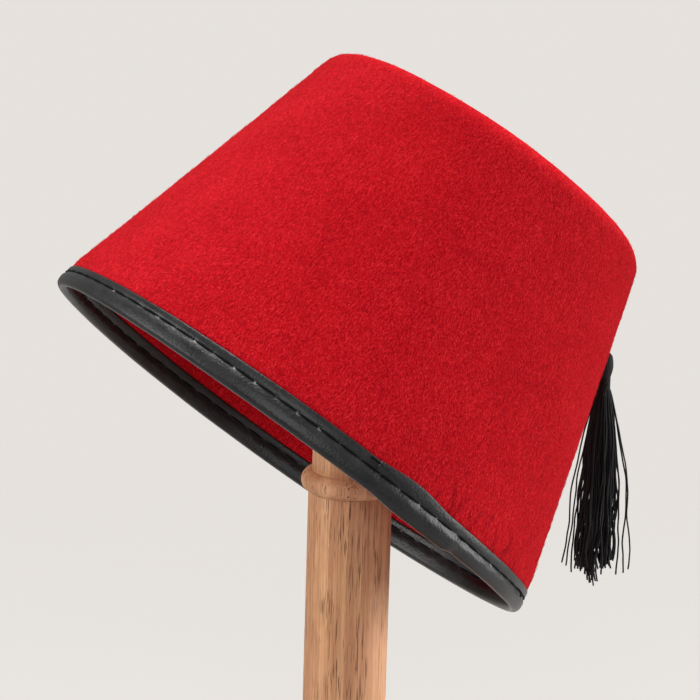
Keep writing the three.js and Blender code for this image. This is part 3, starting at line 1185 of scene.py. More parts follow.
        # Painted glints by some of the stitch holes.
        store(piece, "hole_glint", self._hole_glints(section, along, around).ravel())
        return piece

    def _rub_and_highlight(self, section: np.ndarray) -> np.ndarray:
        """How much rub wear and painted highlight the strip has: most along the crest of its fold, just
        inside the rim.

        Args:
            section: Radii and heights of the strip's outlines, one outline a row.

        Returns:
            A number from 0 to 1 a point.
        """
        shape = self.shape
        bearing = np.arctan2(section[:, :, 1] - shape.fold_half, section[:, :, 0] - shape.fold_radius)
        off = (bearing - self.rub_highlight_bearing) / self.rub_highlight_half
        # Rub wear and painted highlight, strongest at the bearing.
        worn = np.exp(-(off ** 4))
        worn[:, self.outer_row:] = 0.0
        return worn

    def _hole_glints(self, section: np.ndarray, along: np.ndarray, around: np.ndarray) -> np.ndarray:
        """Painted glints: pale specks on the lower lips of some of the stitch holes.

        Args:
            section: Radii and heights of the strip's outlines, one outline a row.
            along: Each outline's place along the seam, in stitches.
            around: Each outline's angle round the rim.

        Returns:
            A number from 0 to 1 a point.
        """
        hole = np.round(along)
        chance = np.array([noise.cell(Vector((number, 3.5, self.seed))) for number in hole])
        from_hole = (along - hole) * self.stitch_pitch - self.speck_beside
        from_seam = section[:, :, 1] - self.seam(around)[:, None] + self.speck_below
        spread = from_hole[:, None] ** 2 + from_seam ** 2
        specks = np.exp(-spread / self.speck_size ** 2) * (chance > self.speck_chance)[:, None]
        specks[:, self.outer_row // 2:] = 0.0
        return specks

    def _rungs(self, sides: int) -> list[tuple[int, ...]]:
        """Faces that close the strip's end, from its outer row of points across to its inner one."""
        outer = list(range(self.outer_row))
        inner = list(range(sides - 1, self.outer_row - 1, -1))
        faces = []
        here = 0
        there = 0
        while here < len(outer) - 1 or there < len(inner) - 1:
            ahead_outer = (here + 1) / len(outer)
            ahead_inner = (there + 1) / len(inner)
            if there == len(inner) - 1 or (here < len(outer) - 1 and ahead_outer <= ahead_inner):
                faces.append((outer[here], outer[here + 1], inner[there]))
                here += 1
            else:
                faces.append((outer[here], inner[there + 1], inner[there]))
                there += 1
        return faces

    def _section(
        self, around: float, raised: float, rise: float, flare: float, along: float
    ) -> np.ndarray:
        """The strip's closed outline at one place, as (radius, height) rows.

        Args:
            around: Angle round the rim.
            raised: How far the lap lifts it off the felt.
            rise: How much higher its upper edge is.
            flare: How far the cut end springs away at its upper edge.
            along: Place along the seam, in stitches.

        Returns:
            The outline, down the outside, round the fold, up the inside and back.
        """
        shape = self.shape
        wobble = self.wobble(around)
        size, span = self.edge_wobble
        edge = float(self.edge(around)) + rise + size * noise.noise(self.round_place(around) / span)
        seam = float(self.seam(around))
        cut = around if raised > 0 else TURN
        heights = np.linspace(edge, shape.fold_half, self.leaf_rows)
        thick = self.skived(cut, heights, seam)
        offset = self.leaf_offset(heights, edge, seam, along) + raised * self.lift(thick) + wobble
        offset = offset + flare * np.clip((heights - seam) / (edge - seam), 0, 1)
        outside = np.column_stack((shape.outer_felt(heights) + offset, heights))
        lip = outside[0] + self.lip_corner
        centre = (shape.fold_radius, shape.fold_half)
        at_fold = float(thick[-1])
        lift = raised * self.lift(at_fold)
        reach = shape.fold_half + lift + wobble
        fold = arc(centre, reach, 0.0, -math.pi, self.fold_rows)[1:-1]
        inner_heights = np.linspace(shape.fold_half, self.inner_leaf_height, self.inner_leaf_rows)
        inner_offset = self.leaf_offset(inner_heights, self.inner_leaf_height, seam, along)
        inside = np.column_stack(
            (shape.inner_felt(inner_heights) - inner_offset - lift - wobble, inner_heights)
        )
        inner_lip = inside[-1] + self.inner_lip_corner
        back = inside[::-3] + (at_fold, -self.back_lower)
        fold_back = arc(centre, reach - at_fold, -math.pi, 0.0, self.fold_back_rows)[1:-1]
        back_radii = outside[::-4, 0] - thick[::-4]
        outer_back = np.column_stack((back_radii, outside[::-4, 1] - self.back_lower))
        return np.vstack((lip[None], outside, fold, inside, inner_lip[None], back, fold_back, outer_back))

    def stitch_line(self, inside: bool) -> tuple[np.ndarray, np.ndarray, np.ndarray]:
        """The middles of the stitches on one side of the rim.

        Args:
            inside: Whether they are the ones inside the hat.

        Returns:
            Places, directions along the seam, and directions off the strip.
        """
        places = []
        for share in (0.0, 0.01):
            along = np.arange(self.stitches) + 0.5 + share
            around = along * TURN / self.stitches
            around = np.where(around > math.pi, around - TURN, around)
            seam = self.seam(around)
            sign = -1 if inside else 1
            wall = self.shape.inner_felt(seam) if inside else self.shape.outer_felt(seam)
            edge = self.inner_leaf_height if inside else self.edge(around)
            offset = self.leaf_offset(seam, edge, seam, along)
            offset = offset + np.array([self.wobble(turn) for turn in around])
            over = (around > self.lap_from) & (around < self.lap_to)
            lift = self.lift(self.skived(around, seam, seam))
            offset = offset + np.where(over, self.lapped(around) * lift, 0.0)
            radius = wall + sign * offset
            flat = spun(radius, around, seam + self.shape.rim_wave(around, seam))
            places.append(self.lean.place(flat))
            off = spun(1.0, around, self.seam_slope) * sign
        ahead = places[1] - places[0]
        return places[0], ahead, self.lean.aim(off)

    def sew(self, thread: bpy.types.Material) -> bpy.types.Object:
        """Sews both sides of the seam, as one piece.

        Args:
            thread: The thread's finish.

        Returns:
            The stitches.
        """
        outer = self.stitch_line(False)
        inner = self.stitch_line(True)
        places, ahead, off = (np.vstack(pair) for pair in zip(outer, inner))
        base = loose_points("stitch_places", places)
        store(base, "ahead", ahead)
        store(base, "off", off)
        inputs = {"Length": 0.007, "Thread": 0.0003, "Arch": 0.0003, "Dip": 0.0005, "Seed": 1}
        tree = Repeater("stitch_row", inputs)
        given = tree.given
        recipe = tree.recipe
        half = recipe.math("MULTIPLY", given["Length"], 0.5)
        back_half = recipe.math("MULTIPLY", given["Length"], -0.5)
        down = recipe.math("MULTIPLY", given["Dip"], -1.0)
        top = recipe.math("MULTIPLY_ADD", given["Arch"], 2.0, given["Dip"])
        bow = recipe.add("GeometryNodeCurveQuadraticBezier", {
            "Resolution": 8,
            "Start": recipe.combine(back_half, 0.0, down),
            "Middle": recipe.combine(0.0, 0.0, top),
            "End": recipe.combine(half, 0.0, down),
        })
        stitch = tree.thickened(bow.outputs[0], given["Thread"], 7)
        off = tree.named("off", "FLOAT_VECTOR")
        turn = tree.aimed(off, "ahead", self.stitch_skew, given["Seed"])
        tree.finish(tree.on_points(given["Base"], stitch, Rotation=turn), thread)
        values = {
            "Length": self.stitch_pitch * self.stitch_share * MM,
            "Thread": self.stitch_thread / 2 * MM,
            "Arch": self.stitch_arch * MM,
            "Dip": self.stitch_dip * MM,
            "Seed": self.seed,
        }
        piece = tree.run(base, "rim_stitches", values)
        bpy.data.objects.remove(base)
        return piece

    def thread_end(self, thread: bpy.types.Material) -> bpy.types.Object:
        """Lays the short end of thread that sticks out of the seam.

        Args:
            thread: The thread's finish.

        Returns:
            The piece.
        """
        around = self.thread_end_at
        foot = self._felt_point(around, float(self.seam(around)), self.pinch)
        return self._stray_thread("seam_thread_end", around, foot, self.thread_end_spots, thread)

    def lap_tack(self, thread: bpy.types.Material) -> bpy.types.Object:
        """Lays the doubled stitch that holds the upper corner of the lap down.

        Args:
            thread: The thread's finish.

        Returns:
            The piece.
        """
        around = self.lap_from
        height = float(self.edge(around)) - self.tack_below
        foot = self._felt_point(around, height, self.pinch + self.strip)
        return self._stray_thread("lap_tack", around, foot, self.tack_spots, thread)

    def _felt_point(self, around: float, height: float, off: float) -> np.ndarray:
        """The place that stands a distance off the felt at an angle and a height."""
        radius = float(self.shape.outer_felt(height)) + off
        return spun(radius, around, height + self.shape.rim_wave(around, height))

    def _stray_thread(
        self, name: str, around: float, foot: np.ndarray, spots: tuple, thread: bpy.types.Material
    ) -> bpy.types.Object:
        """Lays a piece of thread.

        Args:
            name: The piece's name.
            around: The foot's angle round the rim.
            foot: The thread's foot, in the hat's frame.
            spots: What it runs through, outward, onward and upward from its foot.
            thread: The thread's finish.

        Returns:
            The piece.
        """
        out = np.array((math.cos(around), math.sin(around), 0.0))
        ahead = np.array((-math.sin(around), math.cos(around), 0.0))
        up = np.array((0.0, 0.0, 1.0))
        line = np.array([foot + out * a + ahead * b + up * c for a, b, c in spots])
        outline = ply_outline(self.stitch_thread / 2, 3, 12)
        return tube(name, smooth_line(self.lean.place(line), 6), outline, thread, 2.0)


# ---- The felt crown ----


@dataclass
class FeltCrown:
    """The moulded felt crown, hollow and open below."""

    shape: FezShape
    lean: Lean
    rim: BoundRim
    segments: int = 360
    press_outside: float = 0.95
    press_inside: float = 0.45
    press_from: float = 0.5
    press_ease: float = 1.5
    press_step: float = 1.1
    press_past: float = 0.35
    press_past_inside: float = 0.3
    sway: float = 0.35
    sway_span: float = 38.0
    dent: float = 0.07
    dent_span: float = 6.5
    sway_seed: int = 5
    crease_at: float = math.radians(-77)
    crease_spread: float = math.radians(26)
    crease_height: float = 24.0
    crease_full: float = 1.15
    flat_from: float = 4.0
    flat_ease: float = 4.5
    nap_per_m2: float = 105_000.0
    nap_length: float = 2.6
    nap_radius: float = 0.045
    nap_lift: float = 0.22
    nap_root: float = 0.08
    nap_bend: float = 0.35
    nap_scatter: tuple = (0.5, 0.12, 0.75)
    nap_sizes: tuple = (0.45, 1.25)
    nap_clear: float = 0.6
    nap_seed: int = 11

    def build(self, finish: bpy.types.Material) -> bpy.types.Object:
        """Builds the crown from its hole, over the top, down outside, and back up inside.

        Args:
            finish: The felt's finish.

        Returns:
            The piece, with what its finish reads.
        """
        profile, outside = self._profile()
        around = headings(self.segments)
        radius = np.tile(profile[:, 0], (self.segments, 1))
        height = np.tile(profile[:, 1], (self.segments, 1))
        turn = np.tile(around[:, None], (1, len(profile)))
        edge = self.rim.edge(turn)
        low = self.shape.fold_half + self.press_from
        clear = smooth_step((height - low) / self.press_ease)
        under = smooth_step((edge + self.press_past - height) / self.press_step) * clear
        leaf = self.rim.inner_leaf_height + self.press_past_inside
        inner = smooth_step((leaf - height) / self.press_step) * clear
        radius = radius - np.where(outside[None, :], self.press_outside * under, 0.0)
        radius = radius + np.where(outside[None, :], 0.0, self.press_inside * inner)
        flat = spun(radius, turn, height).reshape(-1, 3)
        flat = flat + self._unevenness(flat)
        flat[:, 2] += self.shape.rim_wave(turn.ravel(), height.ravel())
        faces = grid_faces(self.segments, len(profile), True, True)
        piece = make_piece("felt_crown", self.lean.place(flat), faces, finish)
        self._mark(piece, profile, outside, turn.ravel())
        return piece

    def _profile(self) -> tuple[np.ndarray, np.ndarray]:
        """The felt's closed outline, and which of its rows are outside."""
        shape = self.shape
        corner = shape.corner
        wall = shape.wall_angle
        hole = shape.cord_hole_radius
        top = np.linspace(hole + 0.4, corner[0], 30)[:-1]
        rounding = arc(corner, shape.corner_radius, math.pi / 2, wall, 12)
        free = np.linspace(rounding[-1][1], shape.drawn_height, 56)[1:-1]
        drawn = np.linspace(shape.drawn_height, shape.fold_half, 18)[:-1]
        fold = arc((shape.fold_radius, shape.fold_half), shape.pressed_felt / 2, 0, -math.pi, 8)
        inner_round = arc(corner, shape.corner_radius - shape.felt, wall, math.pi / 2, 8)
        up = np.linspace(shape.drawn_height, inner_round[0][1], 30)[1:-1]
        under = shape.height - shape.felt
        outer = [
            np.column_stack((top, np.full(len(top), shape.height))),
            rounding,
            np.column_stack((shape.straight_wall(free), free)),
            np.column_stack((shape.outer_felt(drawn), drawn)),
        ]
        inner = [
            fold,
            np.column_stack((shape.inner_felt(drawn[::-1]), drawn[::-1])),
            np.column_stack((shape.inner_felt(up), up)),
            inner_round,
            np.column_stack((np.linspace(corner[0], hole + 0.4, 16)[1:], np.full(15, under))),
            np.array([(hole, under + 0.4), (hole, shape.height - 0.4)]),
        ]
        count = sum(len(part) for part in outer)
        profile = np.vstack(outer + inner)
        return profile, np.arange(len(profile)) < count

    def _unevenness(self, flat: np.ndarray) -> np.ndarray:
        """Small soft swells and dents of hand-pressed felt, as a move for each point."""
        noise.seed_set(self.sway_seed)
        moves = np.empty_like(flat)
        for index, point in enumerate(flat):
            place = Vector(point)
            slow = noise.noise_vector(place / self.sway_span)
            quick = noise.noise_vector(place / self.dent_span)
            moves[index] = np.array(slow) * self.sway + np.array(quick) * self.dent
        loose = smooth_step((flat[:, 2] - self.shape.fold_half) / self.shape.drawn_height)
        return moves * loose[:, None]

    def _mark(
        self, piece: bpy.types.Object, profile: np.ndarray, outside: np.ndarray, turn: np.ndarray
    ) -> None:
        """Stores what the finish and the nap read on each point.

        Args:
            piece: The crown.
            profile: Its outline.
            outside: Which rows of the outline are outside.
            turn: Each point's angle round the crown.
        """
        rings = self.segments
        along = np.tile(run_along(profile), rings)
        height = np.tile(profile[:, 1], rings)
        out = np.tile(outside, rings)
        middle = (self.shape.rim_wall_radius + self.shape.top_wall_radius) / 2
        store(piece, "felt_space", spun(middle, turn, along) * MM)
        flat = smooth_step((height - self.shape.corner[1] - self.flat_from) / self.flat_ease)
        store(piece, "flat_top", flat)
        off = (turn - self.crease_at + math.pi) % TURN - math.pi
        near = np.exp(-((off / self.crease_spread) ** 2))
        low = smooth_step(self.crease_full - height / self.crease_height)
        store(piece, "creased", np.where(out, near * low, 0.0))
        wall = self.shape.wall_angle
        slope = np.where(flat > 0.5, 0.0, math.cos(wall))
        grain = spun(-np.sqrt(1 - slope**2), turn, slope)
        store(piece, "grain", self.lean.aim(grain))
        free = out & (height > self.rim.edge(turn) + self.rim.lap_rise + self.nap_clear)
        store(piece, "nap", free.astype(float))

    def raise_nap(self, crown: bpy.types.Object, finish: bpy.types.Material) -> bpy.types.Object:
        """Raises loose fibres from the outside of the felt.

        Args:
            crown: The felt crown.
            finish: The fibres' finish.

        Returns:
            The fibres, as one piece.
        """
        inputs = {"Density": 1e5, "Length": 0.0025, "Radius": 0.00005, "Lift": 0.0003, "Seed": 1}
        tree = Repeater("felt_nap_row", inputs)
        given = tree.given
        recipe = tree.recipe
        spots = recipe.add("GeometryNodeDistributePointsOnFaces", {
            "Mesh": given["Base"],
            "Selection": tree.named("nap"),
            "Density": given["Density"],
            "Seed": given["Seed"],
        })
        half = recipe.math("MULTIPLY", given["Length"], 0.5)
        curve = recipe.add("GeometryNodeCurveQuadraticBezier", {
            "Resolution": 3,
            "Start": recipe.combine(recipe.math("MULTIPLY", half, -1.0), 0.0, -self.nap_root * MM),
            "Middle": recipe.combine(0.0, recipe.math("MULTIPLY", half, self.nap_bend), given["Lift"]),
            "End": recipe.combine(half, 0.0, given["Lift"]),
        })
        inputs = {"Resolution": 3, "Radius": given["Radius"]}
        ring = recipe.add("GeometryNodeCurvePrimitiveCircle", inputs)
        inputs = {"Curve": curve.outputs[0], "Profile Curve": ring.outputs[0]}
        fibre = recipe.add("GeometryNodeCurveToMesh", inputs)
        smooth = recipe.add("GeometryNodeSetShadeSmooth", {"Geometry": fibre.outputs[0]}).outputs[0]
        turn = tree.aimed(spots.outputs[1], "grain", self.nap_scatter, given["Seed"])
        size = tree.random(*self.nap_sizes, given["Seed"])
        scale = recipe.combine(size, size, 1.0)
        tree.finish(tree.on_points(spots.outputs[0], smooth, Rotation=turn, Scale=scale), finish)
        values = {
            "Density": self.nap_per_m2,
            "Length": self.nap_length * MM,
            "Radius": self.nap_radius * MM,
            "Lift": self.nap_lift * MM,
            "Seed": self.nap_seed,
        }
        return tree.run(crown, "felt_nap", values)


# ---- The cord and the tassel ----


@dataclass
class HangingCord:
    """The cord from the crown's top over its edge to the tassel, and the knot that holds it."""

    shape: FezShape
    lean: Lean
    diameter: float = 2.0
    swing: float = math.radians(-5.5)
    on_top: tuple = (
        (0, -2.9), (0, 0.4), (0.2, 3.4), (2.4, 6.4), (6.4, 6.9), (10.6, 4.6), (15, 2.3), (20.5, 1.35),
        (30, 1.3), (42, 1.3), (51, 1.3),
    )
    edge_angles: tuple = (math.radians(20), math.radians(40))
    drops: tuple = (8, 16, 24, 32)
    tail: float = 26.0
    plies: int = 3
    ply_pitch: float = 6.5
    knot_radius: float = 3.4
    knot_flat: float = 0.75

    def route(self) -> np.ndarray:
        """The points that the cord runs through, in the hat's frame."""
        outwards = np.array((math.cos(self.swing), math.sin(self.swing), 0.0))
        up = np.array((0.0, 0.0, 1.0))
        points = [outwards * run + up * (self.shape.height + rise) for run, rise in self.on_top]
        corner_radius, corner_height = self.shape.corner
        bend = self.shape.corner_radius + GAP + self.diameter / 2
        for angle in self.edge_angles:
            run = corner_radius + bend * math.sin(angle)
            points.append(outwards * run + up * (corner_height + bend * math.cos(angle)))
        down = np.array((math.sin(self.lean.angle), 0.0, -math.cos(self.lean.angle)))
        edge = points[-1]
        points += [edge + down * drop for drop in self.drops]
        points.append(points[-1] + down * self.tail)
        return np.array(points)

    def tassel_top(self) -> np.ndarray:
        """Where the tassel's head starts, in the common frame."""
        return self.lean.place(self.route()[-2:-1])[0]

    def build(self, thread: bpy.types.Material) -> tuple[bpy.types.Object, np.ndarray]:
        """Builds the twisted cord.

        Args:
            thread: The cord's finish.

        Returns:
            The cord and its centre line, in metres.
        """
        line = self.lean.place(smooth_line(self.route(), 14))
        outline = ply_outline(self.diameter / 2, self.plies, 24)
        turns = line_length(line) / self.ply_pitch
        return tube("hanging_cord", line, outline, thread, -turns), line * MM

    def knot(self, thread: bpy.types.Material) -> bpy.types.Object:
        """Builds the overhand knot under the top, as a loop that crosses itself three times.

        Args:
            thread: The cord's finish.

        Returns:
            The piece.
        """
        angle = headings(96)
        reach = (self.knot_radius - self.diameter / 2) / 3
        rise = self.knot_radius * self.knot_flat - self.diameter / 2
        loop = np.column_stack((
            reach * (np.sin(angle) + 2 * np.sin(2 * angle)),
            reach * (np.cos(angle) - 2 * np.cos(2 * angle)),
            rise * np.sin(3 * angle),
        ))
        loop += self.route()[0] - (0.0, 0.0, self.knot_radius * self.knot_flat + GAP)
        outline = ply_outline(self.diameter / 2, self.plies, 18)
        return tube("inner_knot", self.lean.place(loop), outline, thread, -6.0, closed=True)


@dataclass(frozen=True)
class Stray:
    """One strand that hangs clear of the others, with its heading in degrees."""

    heading: float
    reach: float
    bow: float
    drop: float


@dataclass
class Tassel:
    """The tassel: a head of folded threads, a wrapped neck, and loose strands."""

    top: np.ndarray
    head_outline: tuple = ((0, 1.2), (0.25, 1.9), (1.0, 2.45), (3, 2.85), (5, 2.95), (7, 2.6), (8.8, 2.05))
    head_folds: int = 22
    fold_depth: float = 0.16
    head_swirl: float = 0.05
    neck_from: float = 8.9
    neck_to: float = 13.2
    neck_radius: float = 1.95
    neck_overlap: float = 0.6
    wrap_thread: float = 0.58
    wrap_press: float = 0.54
    strands: int = 128
    strand_radius: float = 0.31
    core_radius: float = 5.9
    core_ease: float = 13.0
    locks: int = 11
    lock_sway: float = 1.5
    length: float = 68.0
    shortest: float = 0.93
    sway: float = 1.15
    sway_gain: float = 5.0
    lock_gain: float = 12.0
    sway_quickness: float = 48.0
    lock_quickness: float = 22.0
    first_lock: float = 400.0
    noise_apart: float = 7.31
    seed: int = 23
    strays: tuple = (
        Stray(182, 11.6, 1.2, 64.5),
        Stray(171, 10.4, 0.6, 66.0),
        Stray(193, 8.6, 0.9, 67.0),
        Stray(205, 7.2, 0.2, 63.0),
        Stray(-4, 12.0, 1.6, 65.5),
        Stray(9, 10.6, 2.2, 67.5),
        Stray(-21, 8.2, 1.5, 67.5),
        Stray(24, 7.4, 0.8, 64.0),
        Stray(75, 9.0, 0.8, 65.0),
        Stray(118, 8.1, 0.5, 64.0),
        Stray(-82, 8.4, 0.6, 66.0),
        Stray(-120, 7.6, 0.9, 65.0),
    )

    def head(self, thread: bpy.types.Material) -> bpy.types.Object:
        """Builds the head, whose threads run down it side by side.

        Args:
            thread: The threads' finish.

        Returns:
            The piece.
        """
        below, radii = (np.array(row, float) for row in zip(*self.head_outline))
        depth = np.linspace(0.0, below[-1] + 0.7, 34)
        radius = np.interp(depth, below, radii)
        radius = np.convolve(np.pad(radius, 2, mode="edge"), np.ones(5) / 5, mode="valid")
        sides = self.head_folds * 8
        around = headings(sides)
        points = np.empty((len(depth) + 2, sides, 3))
        for index, (low, reach) in enumerate(zip(depth, radius), start=1):
            swirl = around + self.head_swirl * low
            ridge = np.abs(np.sin(self.head_folds * around / 2)) - 0.6
            points[index] = spun(reach + self.fold_depth * ridge, swirl, -low)
        points[0] = (0.0, 0.0, 0.15)
        points[-1] = (0.0, 0.0, -depth[-1])
        faces = grid_faces(len(points), sides, False, True)
        piece = make_piece("tassel_head_threads", points + self.top, faces, thread)
        share = np.tile(around / TURN * self.head_folds / 2, len(points))
        space = np.column_stack((share, points.reshape(-1, 3)[:, 2] * MM, np.zeros(len(share))))
        store(piece, "thread_space", space)
        close_poles(piece)
        return piece

    def neck(self, thread: bpy.types.Material) -> bpy.types.Object:
        """Winds the thread round the neck.

        Args:
            thread: The thread's finish.

        Returns:
            The piece.
        """
        inputs = {"Turns": 8.0, "Radius": 0.002, "Height": 0.004, "Thread": 0.0003}
        tree = Repeater("neck_winding", inputs)
        given = tree.given
        recipe = tree.recipe
        coil = recipe.add("GeometryNodeCurveSpiral", {
            "Resolution": 26,
            "Rotations": given["Turns"],
            "Start Radius": given["Radius"],
            "End Radius": given["Radius"],
            "Height": given["Height"],
        })
        wound = tree.thickened(coil.outputs[0], given["Thread"], 8)
        tree.finish(recipe.add("GeometryNodeTransform", {"Geometry": wound}).outputs[0], thread)
        height = self.neck_to - self.neck_from
        base = loose_points("neck_place", np.zeros((1, 3)))
        piece = tree.run(base, "tassel_neck_winding", {
            "Turns": height / self.wrap_thread,
            "Radius": self.neck_radius * MM,
            "Height": height * MM,
            "Thread": self.wrap_thread * self.wrap_press * MM,
        })
        bpy.data.objects.remove(base)
        return self._hung(piece, self.neck_to)

    def _hung(self, piece: bpy.types.Object, drop: float) -> bpy.types.Object:
        """Moves a piece from the origin to a drop below the tassel's top."""
        low = self.top - (0.0, 0.0, drop)
        piece.data.transform(Matrix.Translation(Vector(low * MM)))
        return piece

    def skirt(self, thread: bpy.types.Material) -> bpy.types.Object:
        """Hangs the strands, most of them in a column and a few clear of it.

        Args:
            thread: The strands' finish.

        Returns:
            The piece.
        """
        base = loose_points("strand_places", np.zeros((self.strands + len(self.strays), 3)))
        draw = np.random.default_rng(self.seed)
        depth = np.sqrt(draw.random(self.strands))
        heading = np.sort(draw.random(self.strands)) * TURN
        drop = draw.uniform(self.shortest, 1.0, self.strands) * self.length - 1.5 * depth
        none = np.zeros(self.strands)
        lone = self.strays
        store(base, "heading", np.array([*heading, *(math.radians(stray.heading) for stray in lone)]))
        reach = [*(self.core_radius * depth), *(stray.reach for stray in lone)]
        store(base, "reach", np.array(reach) * MM)
        store(base, "bow", np.array([*none, *(stray.bow for stray in lone)]) * MM)
        store(base, "drop", np.array([*drop, *(stray.drop for stray in lone)]) * MM)
        store(base, "depth", np.array([*depth, *np.ones(len(lone))]))
        store(base, "lone", np.array([*none, *np.ones(len(lone))]))
        tree = self._strand_tree(thread)
        piece = tree.run(base, "tassel_strands", {
            "Strand Radius": self.strand_radius * MM,
            "Neck Radius": (self.neck_radius - 0.1) * MM,
            "Ease": self.core_ease * MM,
            "Sway": self.sway * MM,
            "Lock Sway": self.lock_sway * MM,
            "Lock": self.strands / self.locks,
            "Seed": self.seed,
        })
        bpy.data.objects.remove(base)
        return self._hung(piece, self.neck_to - self.neck_overlap)

    def _strand_tree(self, thread: bpy.types.Material) -> Repeater:
        """Builds the tree that hangs one strand from each point of its base.

        Args:
            thread: The strands' finish.

        Returns:
            The tree.
        """
        inputs = {
            "Strand Radius": 0.0003,
            "Neck Radius": 0.002,
            "Ease": 0.008,
            "Sway": 0.001,
            "Lock Sway": 0.001,
            "Lock": 12.0,
            "Seed": 1,
        }
        tree = Repeater("strand_row", inputs)
        given = tree.given
        recipe = tree.recipe
        maths = recipe.math
        number = recipe.add("GeometryNodeInputIndex").outputs[0]
        numbered = tree.stored(given["Base"], "number", number)
        line = recipe.add("GeometryNodeCurvePrimitiveLine", {"Start": (0, 0, 0), "End": (0, 0, -1)})
        stepped = recipe.add("GeometryNodeResampleCurve", {"Curve": line.outputs[0], "Count": 44})
        placed = tree.on_points(numbered, stepped.outputs[0])
        real = recipe.add("GeometryNodeRealizeInstances", {"Geometry": placed})
        share = recipe.add("GeometryNodeSplineParameter").outputs["Factor"]
        fallen = maths("MULTIPLY", share, tree.named("drop"))
        falling = maths("DIVIDE", fallen, maths("MULTIPLY", given["Ease"], -1.0))
        eased = maths("SUBTRACT", 1.0, maths("EXPONENT", falling))
        opened = recipe.blended(tree.named("lone"), eased, maths("POWER", share, 0.8))
        start = maths("MULTIPLY", given["Neck Radius"], tree.named("depth"))
        spread = maths("MULTIPLY", opened, maths("SUBTRACT", tree.named("reach"), start))
        bowed = maths("MULTIPLY", tree.named("bow"), maths("SINE", maths("MULTIPLY", share, math.pi)))
        away = maths("ADD", maths("ADD", start, spread), bowed)
        x = maths("MULTIPLY", away, maths("COSINE", tree.named("heading")))
        y = maths("MULTIPLY", away, maths("SINE", tree.named("heading")))
        hung = recipe.combine(x, y, maths("MULTIPLY", fallen, -1.0))
        number = tree.named("number")
        alone = self._wander(recipe, fallen, number, given["Seed"], self.sway_quickness)
        lock = maths("ADD", maths("FLOOR", maths("DIVIDE", number, given["Lock"])), self.first_lock)
        together = self._wander(recipe, fallen, lock, given["Seed"], self.lock_quickness)
        grown = maths("MULTIPLY", self.sway_gain, maths("POWER", share, 0.9))
        swayed = recipe.vector("SCALE", alone, maths("MULTIPLY", given["Sway"], grown))
        grown = maths("MULTIPLY", self.lock_gain, maths("POWER", share, 1.4))
        in_lock = maths("MULTIPLY", given["Lock Sway"], maths("SUBTRACT", 1.0, tree.named("lone")))
        drifted = recipe.vector("SCALE", together, maths("MULTIPLY", in_lock, grown))
        place = recipe.vector("ADD", hung, recipe.vector("ADD", swayed, drifted))
        moved = recipe.add("GeometryNodeSetPosition", {"Geometry": real.outputs[0], "Position": place})
        tree.finish(tree.thickened(moved.outputs[0], given["Strand Radius"], 6), thread)
        return tree

    def _wander(
        self, recipe: Recipe, fallen: Input, number: Input, seed: Input, quickness: float
    ) -> bpy.types.NodeSocket:
        """A vector that wanders round nought down each strand.

        Args:
            recipe: The tree's recipe.
            fallen: How far down the strand, in metres.
            number: The strand's or the lock's number.
            seed: The seed.
            quickness: How many wanderings there are in a metre.

        Returns:
            The vector.
        """
        shuffled = recipe.math("MULTIPLY_ADD", number, self.noise_apart, seed)
        place = recipe.combine(recipe.math("MULTIPLY", fallen, quickness), shuffled, 0.0)
        return recipe.wander(place, 1.0, 1.5)


# ---- The stand ----


